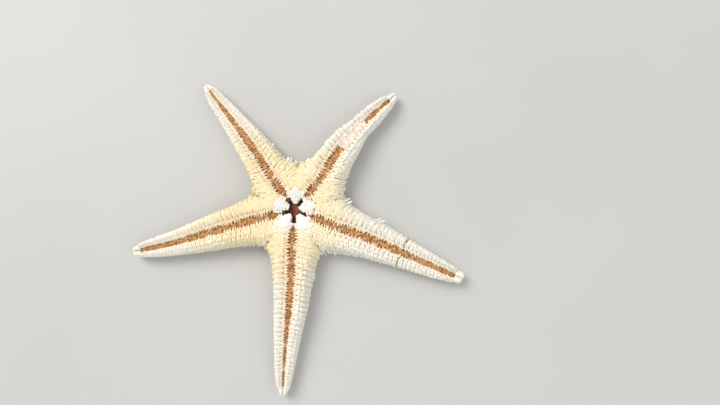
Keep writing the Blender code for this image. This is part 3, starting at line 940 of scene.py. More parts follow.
def make_fringe():
    chance = random.Random("fringe")
    coat = Coat("fringe_spines", spine_shape)
    for arm, reach, hand, pitch, last in each_rib(arms):
        if last < EDGE_AROUND:
            continue
        share = max(arm.share(reach), 0.0)
        longer, lean, rise = stance(arm, hand, reach)
        usual = FRINGE_LENGTH_ROOT + (FRINGE_LENGTH_TIP - FRINGE_LENGTH_ROOT) * share**0.7
        thicker = (1 - 0.3 * share) * (0.6 + 0.4 * longer)
        for number, around in enumerate(FRINGE_AROUND):
            length = usual * (longer * chance.uniform(0.8, 1.15))
            lean += 8 * share**3
            rise *= 1 - 0.5 * share**3
            line = reach + (number - 1) * FRINGE_ROW * pitch
            seat = Seat(arm, line, hand, around + chance.uniform(-0.12, 0.12), FRINGE_DEPTH)
            size = (length, FRINGE_WIDTH * thicker, FRINGE_THICKNESS * thicker)
            leaning = lean + chance.uniform(-8, 8)
            coat.lay(seat, size, leaning, rise + chance.uniform(-5, 7), chance.random())
    coat.make(spine_finish)


make_fringe()

# %% [markdown]
# A few stout spines stand out where they have been bent from their places. They are blunt and very white.

# %% Spines that stand out
# arm, side, reach, lean, rise and length
STANDING = (
    ("arm_right", 1, 5.6 * MM, -14.0, 46.0, 1.45 * MM),
    ("arm_right", 1, 6.1 * MM, 4.0, 34.0, 1.65 * MM),
    ("arm_right", 1, 6.6 * MM, 18.0, 48.0, 1.35 * MM),
    ("arm_right", 1, 13.3 * MM, 28.0, 36.0, 1.30 * MM),
    ("arm_right", 1, 13.8 * MM, 52.0, 36.0, 1.40 * MM),
    ("arm_front", 1, 10.1 * MM, 26.0, 30.0, 1.00 * MM),
    ("arm_front", 1, 10.6 * MM, 38.0, 34.0, 1.10 * MM),
    ("arm_back_right", 1, 12.4 * MM, 34.0, 38.0, 1.00 * MM),
    ("arm_back_left", -1, 11.7 * MM, 40.0, 36.0, 0.95 * MM),
    ("arm_left", -1, 19.6 * MM, 50.0, 34.0, 0.75 * MM),
    ("arm_back_left", -1, 7.0 * MM, 20.0, 50.0, 1.10 * MM),
    ("arm_back_right", 1, 6.8 * MM, 20.0, 50.0, 1.10 * MM),
)
STANDING_WIDTH, STANDING_THICKNESS = 0.44 * MM, 0.374 * MM
STANDING_AROUND, STANDING_DEPTH = 4.3, 0.10 * MM


def make_standing():
    chance = random.Random("standing")
    coat = Coat("standing_spines", rod(10, 8, 0.38, taper=0.15))
    for name, hand, reach, lean, rise, length in STANDING:
        seat = Seat(arm_named(name), reach, hand, STANDING_AROUND, STANDING_DEPTH)
        size = (length, STANDING_WIDTH, STANDING_THICKNESS)
        coat.lay(seat, size, lean, rise, chance.random())
    coat.make(chalky("white_spines", BONE_WHITE, BONE_WHITE))


make_standing()

# %% [markdown]
# ## Blocks along the lower edge
#
# Below the fringe each side has a row of stout blocks, one under each rib, set with round grains. From above
# they are hidden, but they are the wall that the animal shows from the side.

# %% Marginal blocks and their grains
# where round the arm a block begins and ends, and how wide it is, in pitches
BLOCK_ENDS = (5.45, 7.75)
BLOCK_WIDTH = 0.88
BLOCK_THICKNESS = 0.62 * MM
GRAIN, GRAIN_STEP, GRAIN_DEPTH = 0.30 * MM, 0.36 * MM, 0.12 * MM
GRAIN_ROWS = (-0.24, 0.24)
grain_shape = rod(6, 4, 0.75)


def make_blocks():
    chance = random.Random("blocks")
    blocks = Coat("marginal_blocks", rod(6, 7, 0.35))
    grains = Coat("marginal_grains", grain_shape)
    for arm, reach, hand, pitch, last in each_rib(arms):
        if last < EDGE_AROUND:
            continue
        width = BLOCK_WIDTH * pitch
        points, maps = bar(blocks.shape, arm, reach, hand, BLOCK_ENDS, width, BLOCK_THICKNESS, 0.0)
        blocks.add(points, maps, chance.random())
        for row in GRAIN_ROWS:
            line = reach + row * pitch
            for around in evenly(arm, line, hand, BLOCK_ENDS[0] + 0.1, BLOCK_ENDS[1] - 0.1, GRAIN_STEP):
                seat = Seat(arm, line, hand, around, GRAIN_DEPTH)
                grains.lay(seat, varied(chance, (GRAIN, GRAIN, GRAIN)), 0, 90, chance.random())
    blocks.make(plate_finish)
    grains.make(scale_finish)


make_blocks()

# %% [markdown]
# ## The underside
#
# The back, which the body lies on, is paved with tiny columns that end in a crown of grains, packed like
# cobbles. Each is one low dome with six lobes. They are flat enough to stay above the floor, since the skin
# is set in by their height.

# %% Paving on the back
PAVING_STEP = 0.56 * MM
PAVING_ROW = 0.87 * PAVING_STEP
PAVING_WIDTH = 0.56 * MM
PAVING_HEIGHT = 0.44 * MM
# from where on a seam between two arms has three files, and how far from it the arms' rows stop
SEAM_WIDENS = 5.2 * MM
SEAM_HALF = 0.36 * MM
# how far round a crown sits when it is this share of the half width from the middle line
PAVING_SIDES = (0.0, 0.5, 0.8, 0.95)
PAVING_AROUND = (9.0, 8.0, 7.0, 6.0)
SIEVE_HEADING = 15.4
SIEVE_REACH = 5.4 * MM
SIEVE_RADIUS = 0.85 * MM
SIEVE_MARGIN = 0.2 * MM
sieve_centre = Matrix.Rotation(math.radians(SIEVE_HEADING), 4, "Z") @ Vector((SIEVE_REACH, 0, 0))


def crown():
    """A low dome with six lobes, its root at the origin and its top at X = 1."""
    small = bmesh.new()
    bmesh.ops.create_uvsphere(small, u_segments=12, v_segments=4, radius=1.0)
    for vert in small.verts:
        wide = math.hypot(vert.co.x, vert.co.y)
        lobes = 1 + 0.16 * math.cos(6 * math.atan2(vert.co.y, vert.co.x))
        scale = 0.5 * lobes * wide**0.5 / max(wide, 1e-6)
        vert.co = Vector((0.5 + 0.5 * vert.co.z, vert.co.x * scale, vert.co.y * scale))
    return as_shape(small)


crown_shape = crown()
print("a crown has", len(crown_shape[1]), "triangles")

# %% [markdown]
# The crowns stand in rows across each arm, shifted by half a step from row to row. Where the rows of two arms
# meet on the disc, files of crowns run outwards between them. The sieve plate's place stays free.

# %% Rows of crowns
class DiscSeat(Seat):
    """A place on the disc's underside, as far out as climb says."""

    def __init__(self, arm, turn, climb):
        spot = disc_point(turn, climb)
        self.tipward = (disc_point(turn, climb + 0.01) - spot).normalized()
        self.outward = (disc_point(turn + 0.002, climb) - spot).normalized()
        self.out = self.outward.cross(self.tipward).normalized()
        self.origin = spot - self.out * (PAVING_HEIGHT - SKIN_DEPTH)
        self.root = unwrapped(arm, spot.xy.length, 1, BACK)
        self.hand = 1


def add_crown(coat, chance, seat):
    """A crown on a seat, unless the sieve plate is there."""
    if (seat.origin - sieve_centre).xy.length > SIEVE_RADIUS + SIEVE_MARGIN:
        width = PAVING_WIDTH * chance.uniform(0.9, 1.08)
        coat.lay(seat, (PAVING_HEIGHT, width, width), chance.uniform(0, 60), 90, chance.random())


def pave_seams(coat, chance):
    """Crowns along the lines between the arms, in one file, or in three near the notch."""
    for arm in arms:
        middle = (arm.heading + math.degrees(arm.spread[1])) % 360
        reach = 0.4 * MM
        while reach < NOTCH_REACH - 0.45 * MM:
            files = (0.0,) if reach < SEAM_WIDENS else (-1.0, 0.0, 1.0)
            for file in files:
                turn = (middle + math.degrees(file * PAVING_STEP * 0.85 / reach)) / 360
                add_crown(coat, chance, DiscSeat(arm, turn, 0.5 * reach / (NOTCH_REACH - SKIN_DEPTH)))
            reach += PAVING_ROW


def pave_row(coat, chance, arm, row, hand):
    """Crowns from an arm's middle line outwards, every other row half a step further."""
    reach = (row + 0.5) * PAVING_ROW
    half = arm.flank(reach, hand)
    limit = min(0.93 * half, reach * math.tan(arm.spread[hand]) - SEAM_HALF)
    side = (0.5 * (row % 2) + 0.25 * hand + 0.25) * PAVING_STEP
    while side <= limit:
        around = float(np.interp(side / half, PAVING_SIDES, PAVING_AROUND))
        place = reach + chance.uniform(-0.05, 0.05) * MM
        add_crown(coat, chance, Seat(arm, place, hand, around, PAVING_HEIGHT - 0.02 * MM))
        side += PAVING_STEP


def make_paving():
    chance = random.Random("paving")
    coat = Coat("back_paving", crown_shape)
    pave_seams(coat, chance)
    for arm in arms:
        for row in range(math.floor((arm.length - TIP_LENGTH) / PAVING_ROW + 0.5)):
            for hand in (1, -1):
                pave_row(coat, chance, arm, row, hand)
    coat.make(scale_finish)


make_paving()

# %% [markdown]
# ## The furrow
#
# A furrow runs down each arm. In life it holds two rows of soft tube feet; dried, they have shrunk to an
# orange brown crust with darker pits. A bent strip makes its floor, uneven with noise. Noise alone would look
# like mud, and so the feet follow as small cones.

# %% The furrow's floor
BED_FIRST = 2.2 * MM
BED_FIRST_HALF = 0.30 * MM
BED_OPEN = 5.0 * MM
# how far the floor's top and underside lie inside the solid's strip
BED_SUNK, BED_RAISED = 0.14 * MM, 0.1 * MM
# how high its bumps are, how deep its middle groove, and how far its sides fall
BED_BUMPS, BED_GROOVE, BED_FALL = 0.16 * MM, 0.12 * MM, 0.25 * MM


def closing(arm, reach):
    """0 along the arm and 1 in its end, where the furrow closes."""
    return ease((reach - arm.length + TIP_LENGTH * 1.9) / TIP_LENGTH)


def bed_half(arm, reach):
    """Half the floor's width: narrow at the mouth, and narrow again in the arm's end."""
    opening = ease((reach - BED_FIRST) / (BED_OPEN - BED_FIRST))
    half = BED_FIRST_HALF + (arm.lip(reach) - 0.05 * MM - BED_FIRST_HALF) * opening
    return half * (1 - 0.85 * closing(arm, reach))


def bed_point(arm, turn, reach):
    """A point round the floor strip; turn 0 to 0.6 is its uneven top and the rest its underside."""
    half = bed_half(arm, reach) + 0.20 * MM * (1 - closing(arm, reach))
    top, bottom = strip_top(arm, reach) - BED_SUNK, strip_bottom(arm, reach) + BED_RAISED
    if turn <= 0.6:
        across = 2 * turn / 0.6 - 1
        spot = Vector((across * half, reach, 0)) / (0.30 * MM) + Vector((arm.number * 9, 0, 0))
        bumps = BED_BUMPS * noise.noise(spot)
        height = top - BED_GROOVE * bell(across / 0.22) - BED_FALL * across**6 + bumps
        return arm.place(reach, across * half, height)
    return arm.place(reach, (1 - 2 * (turn - 0.6) / 0.4) * half, bottom)


def make_bed(arm):
    last = arm.length - 0.55 * MM
    small = bent_grid(20, 220, lambda u, v: bed_point(arm, u, BED_FIRST + (last - BED_FIRST) * v))
    bed = add_piece(as_mesh(small, arm.name + "_furrow_floor"), bed_finish)
    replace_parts(bed, arm.name + "_tube_feet")


for arm in arms:
    make_bed(arm)

# %% [markdown]
# The dried feet are blunt cones. They lean on each other, left and right in turn, with crumbs of crust
# between them.

# %% Tube feet
FOOT_STEP = 0.50 * MM
FOOT_SIZE = (0.92 * MM, 0.62 * MM, 0.34 * MM)
CRUMB_SIZE = (0.60 * MM, 0.40 * MM, 0.22 * MM)
FOOT_DEPTH, CRUMB_LIFT = 0.42 * MM, 0.08 * MM


def furrow_seat(arm, reach, side, height):
    """A seat on the furrow's floor, this far to one side of its middle."""
    hand = 1 if side > 0 else -1
    seat = Seat(arm, reach, hand, 0.0)
    seat.origin = arm.place(reach, side, height)
    seat.tipward = (arm.place(reach + 0.1 * MM, side, height) - seat.origin).normalized()
    seat.out = Vector((0, 0, 1))
    seat.outward = seat.out.cross(seat.tipward) * hand
    return seat


def make_feet():
    """Shrivelled feet and two crumbs to each."""
    chance = random.Random("feet")
    coat = Coat("tube_feet", rod(8, 6, 0.7, taper=0.5))
    for arm in arms:
        reach, hand = BED_FIRST + 0.4 * MM, 1
        while reach < arm.length - TIP_LENGTH * 1.2:
            half = bed_half(arm, reach)
            shrink = 0.30 + 0.70 * half / FURROW_HALF_WIDTHS[0][1]
            floor = strip_top(arm, reach) - FOOT_DEPTH
            seat = furrow_seat(arm, reach, hand * half * chance.uniform(0.40, 0.66), floor)
            size = varied(chance, [length * shrink for length in FOOT_SIZE], 0.2)
            coat.lay(seat, size, chance.uniform(80, 215), chance.uniform(8, 30), chance.random())
            for _ in range(2):
                spot = half * chance.uniform(-0.95, 0.95)
                place = reach + chance.uniform(-0.2, 0.2) * MM
                seat = furrow_seat(arm, place, spot, floor + CRUMB_LIFT)
                size = varied(chance, [length * shrink for length in CRUMB_SIZE], 0.3)
                coat.lay(seat, size, chance.uniform(0, 360), chance.uniform(0, 35), 0.5 * chance.random())
            reach += 0.5 * FOOT_STEP * (0.3 + 0.7 * shrink)
            hand = -hand
    coat.make(foot_finish)


make_feet()

# %% [markdown]
# ## Spinelets over the furrow
#
# Both lips of the furrow carry a comb of slim spinelets that lean over it, a few to each rib, and close it
# like a zip. Near the mouth they are longest. They are paler than the floor but take some of its colour.

# %% The combs
# how far round the lip, spread of aims, lowest and highest rise, length, width, step, and how much is missing
COMB_ROWS = (
    (0.04, 14, (20, 34), 0.60, 0.36 * MM, 0.55 * MM, 0.0),
    (-0.02, 24, (8, 28), 0.27, 0.25 * MM, 0.27 * MM, 0.0),
    (0.0, 34, (22, 40), 0.95, 0.22 * MM, 0.32 * MM, 0.64),
    (0.22, 30, (12, 40), 0.40, 0.24 * MM, 0.40 * MM, 0.35),
)
# how much of that is missing on each arm
COMBS_MISSING = (1.0, 0.72, 0.70, 0.95, 0.82)
COMB_LENGTH_ROOT = 1.0 * MM
COMB_LENGTH_TIP = 0.50 * MM
COMB_FIRST, COMB_DEPTH = 3.2 * MM, 0.03 * MM
CLOSED_ARM = "arm_back_right"
CLOSED_FROM, CLOSED_TO = 13.6 * MM, 19.4 * MM
CLOSED_SCALE = (0.74 * MM, 0.36 * MM, 0.15 * MM)
comb_shape = rod(6, 5, 0.5, taper=0.3)


def comb_colours():
    """Cream, with some spinelets stained peach by the furrow."""
    finish = Finish("comb_spinelets", 0.7)
    grown = finish.limit(finish.kept("tone") + finish.mottle(1.5 * MM) - 0.5, 0.05, 0.45)
    colour = finish.mix(grown, PEACH, CREAM)
    far = finish.limit(finish.from_mouth(), 14 * MM, 26 * MM) * 0.6
    return finish.end(finish.mix(far, colour, CHALK), finish.mottle(0.15 * MM), 0.02 * MM)


def is_closed(arm, reach):
    return arm.name == CLOSED_ARM and CLOSED_FROM < reach < CLOSED_TO


def is_bare(arm, reach, missing):
    """Whether a row has none here; the bare stretches lie in clusters along the arm."""
    return 0.5 + 0.9 * noise.noise(Vector((reach / (1.4 * MM), arm.number * 7.0, missing * 50))) < missing


def make_combs():
    """Spinelets on both lips: blunt teeth, finer ones, some that cross the furrow, and stubs."""
    chance = random.Random("combs")
    coat = Coat("furrow_combs", comb_shape)
    for arm in arms:
        for hand in (1, -1):
            for around, spread, rises, longer, width, step, missing in COMB_ROWS:
                reach = COMB_FIRST
                while reach < arm.length - TIP_LENGTH * 0.9:
                    share = max(arm.share(reach), 0.0)
                    reach += step * (1 - 0.25 * share) * chance.uniform(0.85, 1.15)
                    if is_bare(arm, reach, missing * COMBS_MISSING[arm.number]) or is_closed(arm, reach):
                        continue
                    length = longer * (COMB_LENGTH_ROOT + (COMB_LENGTH_TIP - COMB_LENGTH_ROOT) * share)
                    seat = Seat(arm, reach, hand, around, COMB_DEPTH)
                    size = varied(chance, (length, width * (1 - 0.2 * share), width * 0.75), 0.2)
                    lean = 180 + chance.uniform(-spread, spread)
                    coat.lay(seat, size, lean, chance.uniform(*rises), chance.random())
    coat.make(comb_colours())


make_combs()

# %% [markdown]
# Between the inner ends of two ribs a few grains fill the lip, so that no dark pit shows beside the furrow.

# %% Grains between the ribs' inner ends
LIP_GRAINS = ((-0.5, 0.42 * MM), (-0.15, 0.40 * MM), (0.2, 0.36 * MM))


def make_lip_grains():
    chance = random.Random("lips")
    coat = Coat("lip_grains", grain_shape)
    for arm, reach, hand, pitch, _ in each_rib(arms):
        for around, width in LIP_GRAINS:
            width *= pitch / RIB_PITCHES[0][1]
            seat = Seat(arm, reach + 0.5 * pitch, hand, around, 0.72 * width)
            size = varied(chance, (width, width, width))
            coat.lay(seat, size, 0, 90, chance.random(), stain=LIP_STAIN)
    coat.make(scale_finish)


make_lip_grains()

# %% [markdown]
# On one arm the lips have closed over the furrow for part of its length. A low pinkish fold fills it, and
# scales from both lips lie over the fold.

# %% The closed stretch
# how far from the middle, in widths of the lip, and how far down the scales of each file lie
CLOSED_FILES = ((1.15, 0.06 * MM), (0.72, 0.18 * MM))
CLOSED_STEP = 0.27 * MM


def fold_colours():
    finish = Finish("closed_fold", 0.75)
    colour = finish.mix(finish.blotches(0.8 * MM, 0.42, 0.66, 4.0), BLUSH, CHALK)
    return finish.end(colour, finish.mottle(0.14 * MM, 4.0), 0.04 * MM)


def fold_point(arm, turn, share):
    """A point round the fold, which is a lumpy roll with blunt ends."""
    reach = CLOSED_FROM - 0.3 * MM + (CLOSED_TO - CLOSED_FROM + 0.6 * MM) * share
    fullness = max(1 - abs(2 * share - 1) ** 5, 0.0) ** 0.5
    half = (arm.furrow(reach) - 0.05 * MM) * fullness
    angle = 2 * math.pi * turn
    bumps = 1 + 0.10 * noise.noise(Vector((math.cos(angle), math.sin(angle), reach / (0.5 * MM))))
    crest = arm.top(reach) - 0.68 * MM
    side = half * bumps * math.cos(angle)
    return arm.place(reach, side, crest + 0.42 * MM * fullness * bumps * math.sin(angle))


def make_fold():
    arm = arm_named(CLOSED_ARM)
    small = bent_grid(28, 60, lambda u, v: fold_point(arm, u, v))
    add_piece(as_mesh(small, "closed_fold"), fold_colours())


def make_fold_scales():
    """Scales that lie from each lip towards the middle, in files that leave the fold's crest free."""
    chance = random.Random("fold")
    coat = Coat("closed_lips", scale_shape)
    arm = arm_named(CLOSED_ARM)
    reach = CLOSED_FROM
    while reach < CLOSED_TO:
        for hand in (1, -1):
            for side, drop in CLOSED_FILES:
                place = reach + chance.uniform(-0.06, 0.06) * MM
                seat = furrow_seat(arm, place, hand * side * arm.lip(reach), arm.top(reach) - drop)
                size = varied(chance, CLOSED_SCALE)
                coat.lay(seat, size, 180 + chance.uniform(-25, 12), -6, chance.uniform(0.3, 1.0))
        reach += CLOSED_STEP
    coat.make(fold_colours())


make_fold()
make_fold_scales()

# %% [markdown]
# ## The ends of the arms
#
# Each arm ends in one plate with two lobes and the end of the furrow between them. They aren't alike: some
# are cut square, some are round, and one has a lobe that is longer than the other. A grid is bent to the
# lobes, and scales like those on the ribs lie over it.

# %% End plates
# the side and the height of a plate's outline, from the notch over a lobe and round to the back
TIP_TOP = (
    (0.0, 0.68), (0.14, 0.76), (0.32, 0.94), (0.60, 0.98),
    (0.88, 0.84), (1.0, 0.48), (0.86, 0.14), (0.5, 0.0),
)
# for each arm, how much its end narrows, how square it is, how deep the notch, and how long the right lobe is
ENDS = (
    (0.48, 7.0, 0.05, 1.0),
    (0.12, 8.0, 0.16, 0.80),
    (0.22, 4.0, 0.22, 0.90),
    (0.42, 4.0, 0.05, 0.92),
    (0.24, 4.5, 0.04, 1.0),
)
TIP_OVERLAP = 0.15 * MM
TIP_SCALE = (0.45 * MM, 0.28 * MM, 0.11 * MM)
# where the scales lie, from the plate's root to its end and round it from the notch
TIP_SHARES = (-0.02, 0.14, 0.29, 0.44, 0.58, 0.70)
TIP_TURNS = (0.06, 0.11, 0.16, 0.21, 0.26, 0.31, 0.36)


def tip_point(arm, turn, share):
    """A point of an end plate; turn goes round it from the notch, share from its root to its end."""
    base = arm.length - TIP_LENGTH
    narrowing, square, notch, right_lobe = ENDS[arm.number]
    fullness = max(1 - max(share, 0.0) ** square, 0.0) ** 0.5
    half_width = arm.half_width(base) * fullness * (1 - narrowing * max(share, 0.0))
    height = arm.height(base) * (0.30 + 0.70 * fullness)
    hand = 1 if turn < 0.5 else -1
    walk = (1 - abs(2 * turn - 1)) * (len(TIP_TOP) - 1)
    side = float(np.interp(walk, range(len(TIP_TOP)), [point[0] for point in TIP_TOP]))
    up = float(np.interp(walk, range(len(TIP_TOP)), [point[1] for point in TIP_TOP]))
    lift = arm.lift(base) + 0.5 * (arm.height(base) - height)
    lobe = right_lobe if hand < 0 else 1.0
    length = TIP_LENGTH * (lobe + (1 - lobe) * bell(side / 0.3)) * (1 - notch * bell(side / 0.22))
    reach = base - TIP_OVERLAP + (length + 0.10 * MM) * share
    centre = 0.5 * height
    return arm.place(reach, hand * side * half_width, lift + centre + (up * height - centre) * fullness**0.5)


def make_tip(arm):
    small = bent_grid(56, 26, lambda u, v: tip_point(arm, u, v))
    all_ways = {"use_axis_x": True, "use_axis_y": True, "use_axis_z": True}
    bmesh.ops.smooth_vert(small, verts=small.verts, factor=0.5, **all_ways)
    tip = add_piece(as_mesh(small, arm.name + "_end_plate"), scale_finish)
    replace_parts(tip, arm.name + "_eye_plate")


class TipSeat(Seat):
    """A place on an end plate."""

    def __init__(self, arm, turn, share):
        self.hand = 1 if turn < 0.5 else -1
        self.origin = tip_point(arm, turn, share)
        self.tipward = (tip_point(arm, turn, share + 0.03) - self.origin).normalized()
        self.outward = (tip_point(arm, turn + 0.01 * self.hand, share) - self.origin).normalized()
        self.out = (self.tipward.cross(self.outward) * self.hand).normalized()
        reach, around = arm.length - TIP_LENGTH * (1 - share), BACK * min(turn, 1 - turn)
        self.root = unwrapped(arm, reach, self.hand, around)


def make_tip_scales():
    """Scales over the end plates, like those on the ribs, that point to the end."""
    chance = random.Random("tips")
    coat = Coat("end_scales", scale_shape)
    for arm in arms:
        for share in TIP_SHARES:
            for turn in TIP_TURNS + tuple(1 - turn for turn in TIP_TURNS):
                seat = TipSeat(arm, turn + chance.uniform(-0.008, 0.008), share + chance.uniform(-0.03, 0.03))
                lean = 90 + chance.uniform(-14, 14)
                coat.lay(seat, varied(chance, TIP_SCALE), lean, chance.uniform(0, 5), chance.random())
    coat.make(scale_finish)


for arm in arms:
    make_tip(arm)
make_tip_scales()

# %% [markdown]
# ## The mouth
#
# Five jaws stand round the mouth, each a pair of stout white plates with a slit between them. A ball pushed
# out to a block makes each plate, as rounded all round as the worn chalk is.

# %% The jaws' plates
JAW_FIRST, JAW_LAST = 1.10 * MM, 3.55 * MM
# how much further from the middle each jaw stands; jaw 1 follows the first arm
JAW_SHIFTS = (0.36 * MM, 0.06 * MM, 0.34 * MM, 0.42 * MM, 0.40 * MM)
JAW_HALF_WIDTH = 1.06 * MM
JAW_LOW, JAW_TOP = 2.6 * MM, 4.80 * MM
JAW_SLOPE = 0.35 * MM
JAW_WIDTHS = ((0.0, 0.34), (0.10, 0.58), (0.24, 0.80), (0.45, 0.96), (0.70, 1.0), (0.88, 0.92), (1.0, 0.66))


def jaw_reach(share):
    return JAW_FIRST + (JAW_LAST - JAW_FIRST) * share


def jaw_half(share):
    return JAW_HALF_WIDTH * along(JAW_WIDTHS, share)


def jaw_top(share):
    """The height of a jaw, which sinks towards the mouth."""
    return JAW_TOP - JAW_SLOPE * (1 - share) ** 2


def boxy(value):
    """Pushes a ball's coordinate outwards, which makes the ball a rounded block."""
    return math.copysign(abs(value) ** 0.72, value)


def half_jaw(turn, hand):
    """One plate of a jaw, narrower towards the mouth."""
    small = bmesh.new()
    bmesh.ops.create_uvsphere(small, u_segments=24, v_segments=16, radius=1.0)
    for vert in small.verts:
        share = 0.5 + 0.5 * boxy(vert.co.x)
        side = hand * jaw_half(share) * (0.48 + 0.52 * boxy(vert.co.y))
        height = JAW_LOW + (jaw_top(share) - JAW_LOW) * (0.5 + 0.5 * boxy(vert.co.z))
        vert.co = turn @ Vector((jaw_reach(share), side, height))
    bmesh.ops.recalc_face_normals(small, faces=small.faces)
    return small


jaw_turns = [arm.midway @ Matrix.Translation((shift, 0, 0)) for arm, shift in zip(arms, JAW_SHIFTS)]
for number, turn in enumerate(jaw_turns):
    halves = [half_jaw(turn, hand) for hand in (1, -1)]
    pair = add_piece(joined(halves, f"jaw_{number + 1}_pair"), jaw_finish)
    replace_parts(pair, f"jaw_{number + 1}")

# %% [markdown]
# The plates are shingled with flat scales that point to the mouth, in four files. Short teeth stand at their
# inner ends, and flat spines bridge the furrow to the next jaw.

# %% Scales, teeth and spines on the jaws
JAW_COLUMNS = 5
# how far to the side, in half widths, how much lower, and how far rolled, in degrees
JAW_FILES = ((0.02, 0.02 * MM, 0), (0.30, 0.03 * MM, 4), (0.58, 0.06 * MM, 14), (0.84, 0.18 * MM, 36))
JAW_SCALE = (1.0 * MM, 0.40 * MM, 0.13 * MM)
JAW_SPINE = (0.78 * MM, 0.30 * MM, 0.20 * MM)
JAW_SPINE_DROPS = (0.30 * MM, 0.45 * MM, 0.60 * MM)
TOOTH = (0.34 * MM, 0.24 * MM, 0.20 * MM)
TOOTH_SIDES = (0.12 * JAW_HALF_WIDTH, 0.32 * JAW_HALF_WIDTH)
TOOTH_DROPS = (0.75 * MM, 1.25 * MM)


class FlatSeat(Seat):
    """A place on a level surface, with the directions of a turned frame."""

    def __init__(self, turn, spot, hand, strip, share):
        self.origin = turn @ spot
        self.tipward = (turn @ Vector((1, 0, 0))).normalized()
        self.out = Vector((0, 0, 1))
        self.outward = self.out.cross(self.tipward) * hand
        self.root, self.hand = np.array((strip / 5, share)), hand


def jaw_scales(coat, chance, number, turn, hand):
    """Scales in four files over a plate."""
    for column in range(JAW_COLUMNS):
        share = (column + 1) / JAW_COLUMNS
        for file, drop, roll in JAW_FILES:
            side = hand * file * jaw_half(share)
            spot = Vector((jaw_reach(share) + 0.06 * MM, side, jaw_top(share) - drop))
            seat = FlatSeat(turn, spot, hand, number + 0.5 + 0.4 * hand * file, share)
            lean = -90 - 45 * file * (1 - share) ** 2 + chance.uniform(-7, 7)
            size = varied(chance, JAW_SCALE, 0.1)
            coat.lay(seat, size, lean, chance.uniform(1, 3), chance.random(), roll)


def jaw_teeth(coat, chance, number, turn, hand):
    """Short teeth at a plate's inner end, two beside each other on two levels."""
    for side in TOOTH_SIDES:
        for drop in TOOTH_DROPS:
            spot = Vector((JAW_FIRST + 0.12 * MM, hand * side, JAW_TOP - drop))
            seat = FlatSeat(turn, spot, hand, number + 0.5, 0.0)
            size = varied(chance, TOOTH)
            coat.lay(seat, size, -90 + chance.uniform(-12, 12), 12, chance.random())


def jaw_spines(coat, chance, number, turn, hand):
    """Flat spines from the jaw's side, which bridge the furrow to the next jaw."""
    for level, drop in enumerate(JAW_SPINE_DROPS):
        for place in range(6):
            share = 0.30 + 0.09 * (place + 0.33 * level)
            spot = Vector((jaw_reach(share), hand * (jaw_half(share) - 0.15 * MM), JAW_TOP - drop))
            seat = FlatSeat(turn, spot, hand, number + 0.5 + 0.5 * hand, share)
            size = varied(chance, JAW_SPINE)
            lean, rise = chance.uniform(-22, 30), chance.uniform(-3, 5)
            coat.lay(seat, size, lean, rise, chance.random(), stain=0.25 * place)


def dress_jaws():
    chance = random.Random("jaws")
    coat = Coat("jaw_scales", rod(10, 8, 0.45, taper=0.1))
    spines = Coat("jaw_spines", comb_shape)
    for number, turn in enumerate(jaw_turns):
        for hand in (1, -1):
            jaw_scales(coat, chance, number, turn, hand)
            jaw_teeth(coat, chance, number, turn, hand)
            jaw_spines(spines, chance, number, turn, hand)
    coat.make(jaw_finish)
    spines.make(spine_finish)


dress_jaws()

# %% [markdown]
# Behind each jaw, between the first ribs of two arms, a gusset of small scales points away from the mouth.

# %% Gussets behind the jaws
GUSSET_FIRST, GUSSET_LAST = 3.5 * MM, 5.3 * MM
GUSSET_STEP = 0.30 * MM
GUSSET_TOP = 4.76 * MM
GUSSET_SCALE = (0.58 * MM, 0.34 * MM, 0.15 * MM)


def make_gussets():
    chance = random.Random("gussets")
    coat = Coat("gusset_scales", scale_shape)
    for number, arm in enumerate(arms):
        reach = GUSSET_FIRST
        while reach < GUSSET_LAST:
            files = math.ceil((0.5 * MM + 0.35 * (reach - GUSSET_FIRST)) / GUSSET_STEP)
            for file in range(-files, files + 1):
                side = (file + chance.uniform(-0.2, 0.2)) * GUSSET_STEP
                top = GUSSET_TOP - 0.06 * (reach - GUSSET_FIRST)
                spot = Vector((reach + chance.uniform(-0.05, 0.05) * MM, side, top))
                seat = FlatSeat(arm.midway, spot, 1 if side > 0 else -1, number + 0.5, reach / UNWRAP_LENGTH)
                lean = 90 - 40 * abs(side) / MM + chance.uniform(-14, 14)
                size = varied(chance, GUSSET_SCALE)
                coat.lay(seat, size, lean, chance.uniform(2, 12), chance.random())
            reach += GUSSET_STEP
    coat.make(scale_finish)


make_gussets()

# %% [markdown]
# A dark, reddish skin closes the mouth under the jaws. Towards its ragged edge, where it runs under them, its
# colour is deepened to near black as painted shade. As it dried it drew up in the middle and wrinkled towards
# it. Rings of points bent to a star with five soft points make it, and noise bends the wrinkles.

# %% The mouth's dried skin
MEMBRANE_POINTS, MEMBRANE_HOLLOWS = 2.70 * MM, 1.90 * MM
MEMBRANE_LOW, MEMBRANE_HIGH = 2.62 * MM, 3.15 * MM


def membrane_point(turn, share):
    """A star with five soft points, wrinkled towards the middle, where it is highest."""
    heading = 360 * turn
    arm = nearest_arm(heading)
    side = away(arm, heading)
    point = 0.5 + 0.5 * math.cos(math.pi * side / math.degrees(arm.spread[1 if side > 0 else -1]))
    reach = (MEMBRANE_HOLLOWS + (MEMBRANE_POINTS - MEMBRANE_HOLLOWS) * point**1.5) * share
    angle = math.radians(heading)
    spot = Vector((reach * math.cos(angle), reach * math.sin(angle), 0))
    swirl = 2.5 * noise.noise(spot / (0.9 * MM))
    wrinkle = 0.07 * MM * math.cos(11 * angle + 4 * swirl) * math.sin(math.pi * share) ** 2
    bumps = 0.26 * MM * noise.noise(spot / (0.5 * MM)) * (1 - share**3)
    height = MEMBRANE_LOW + (MEMBRANE_HIGH - MEMBRANE_LOW) * (1 - share**2) + wrinkle + bumps
    return spot + Vector((0, 0, max(height, MEMBRANE_LOW)))


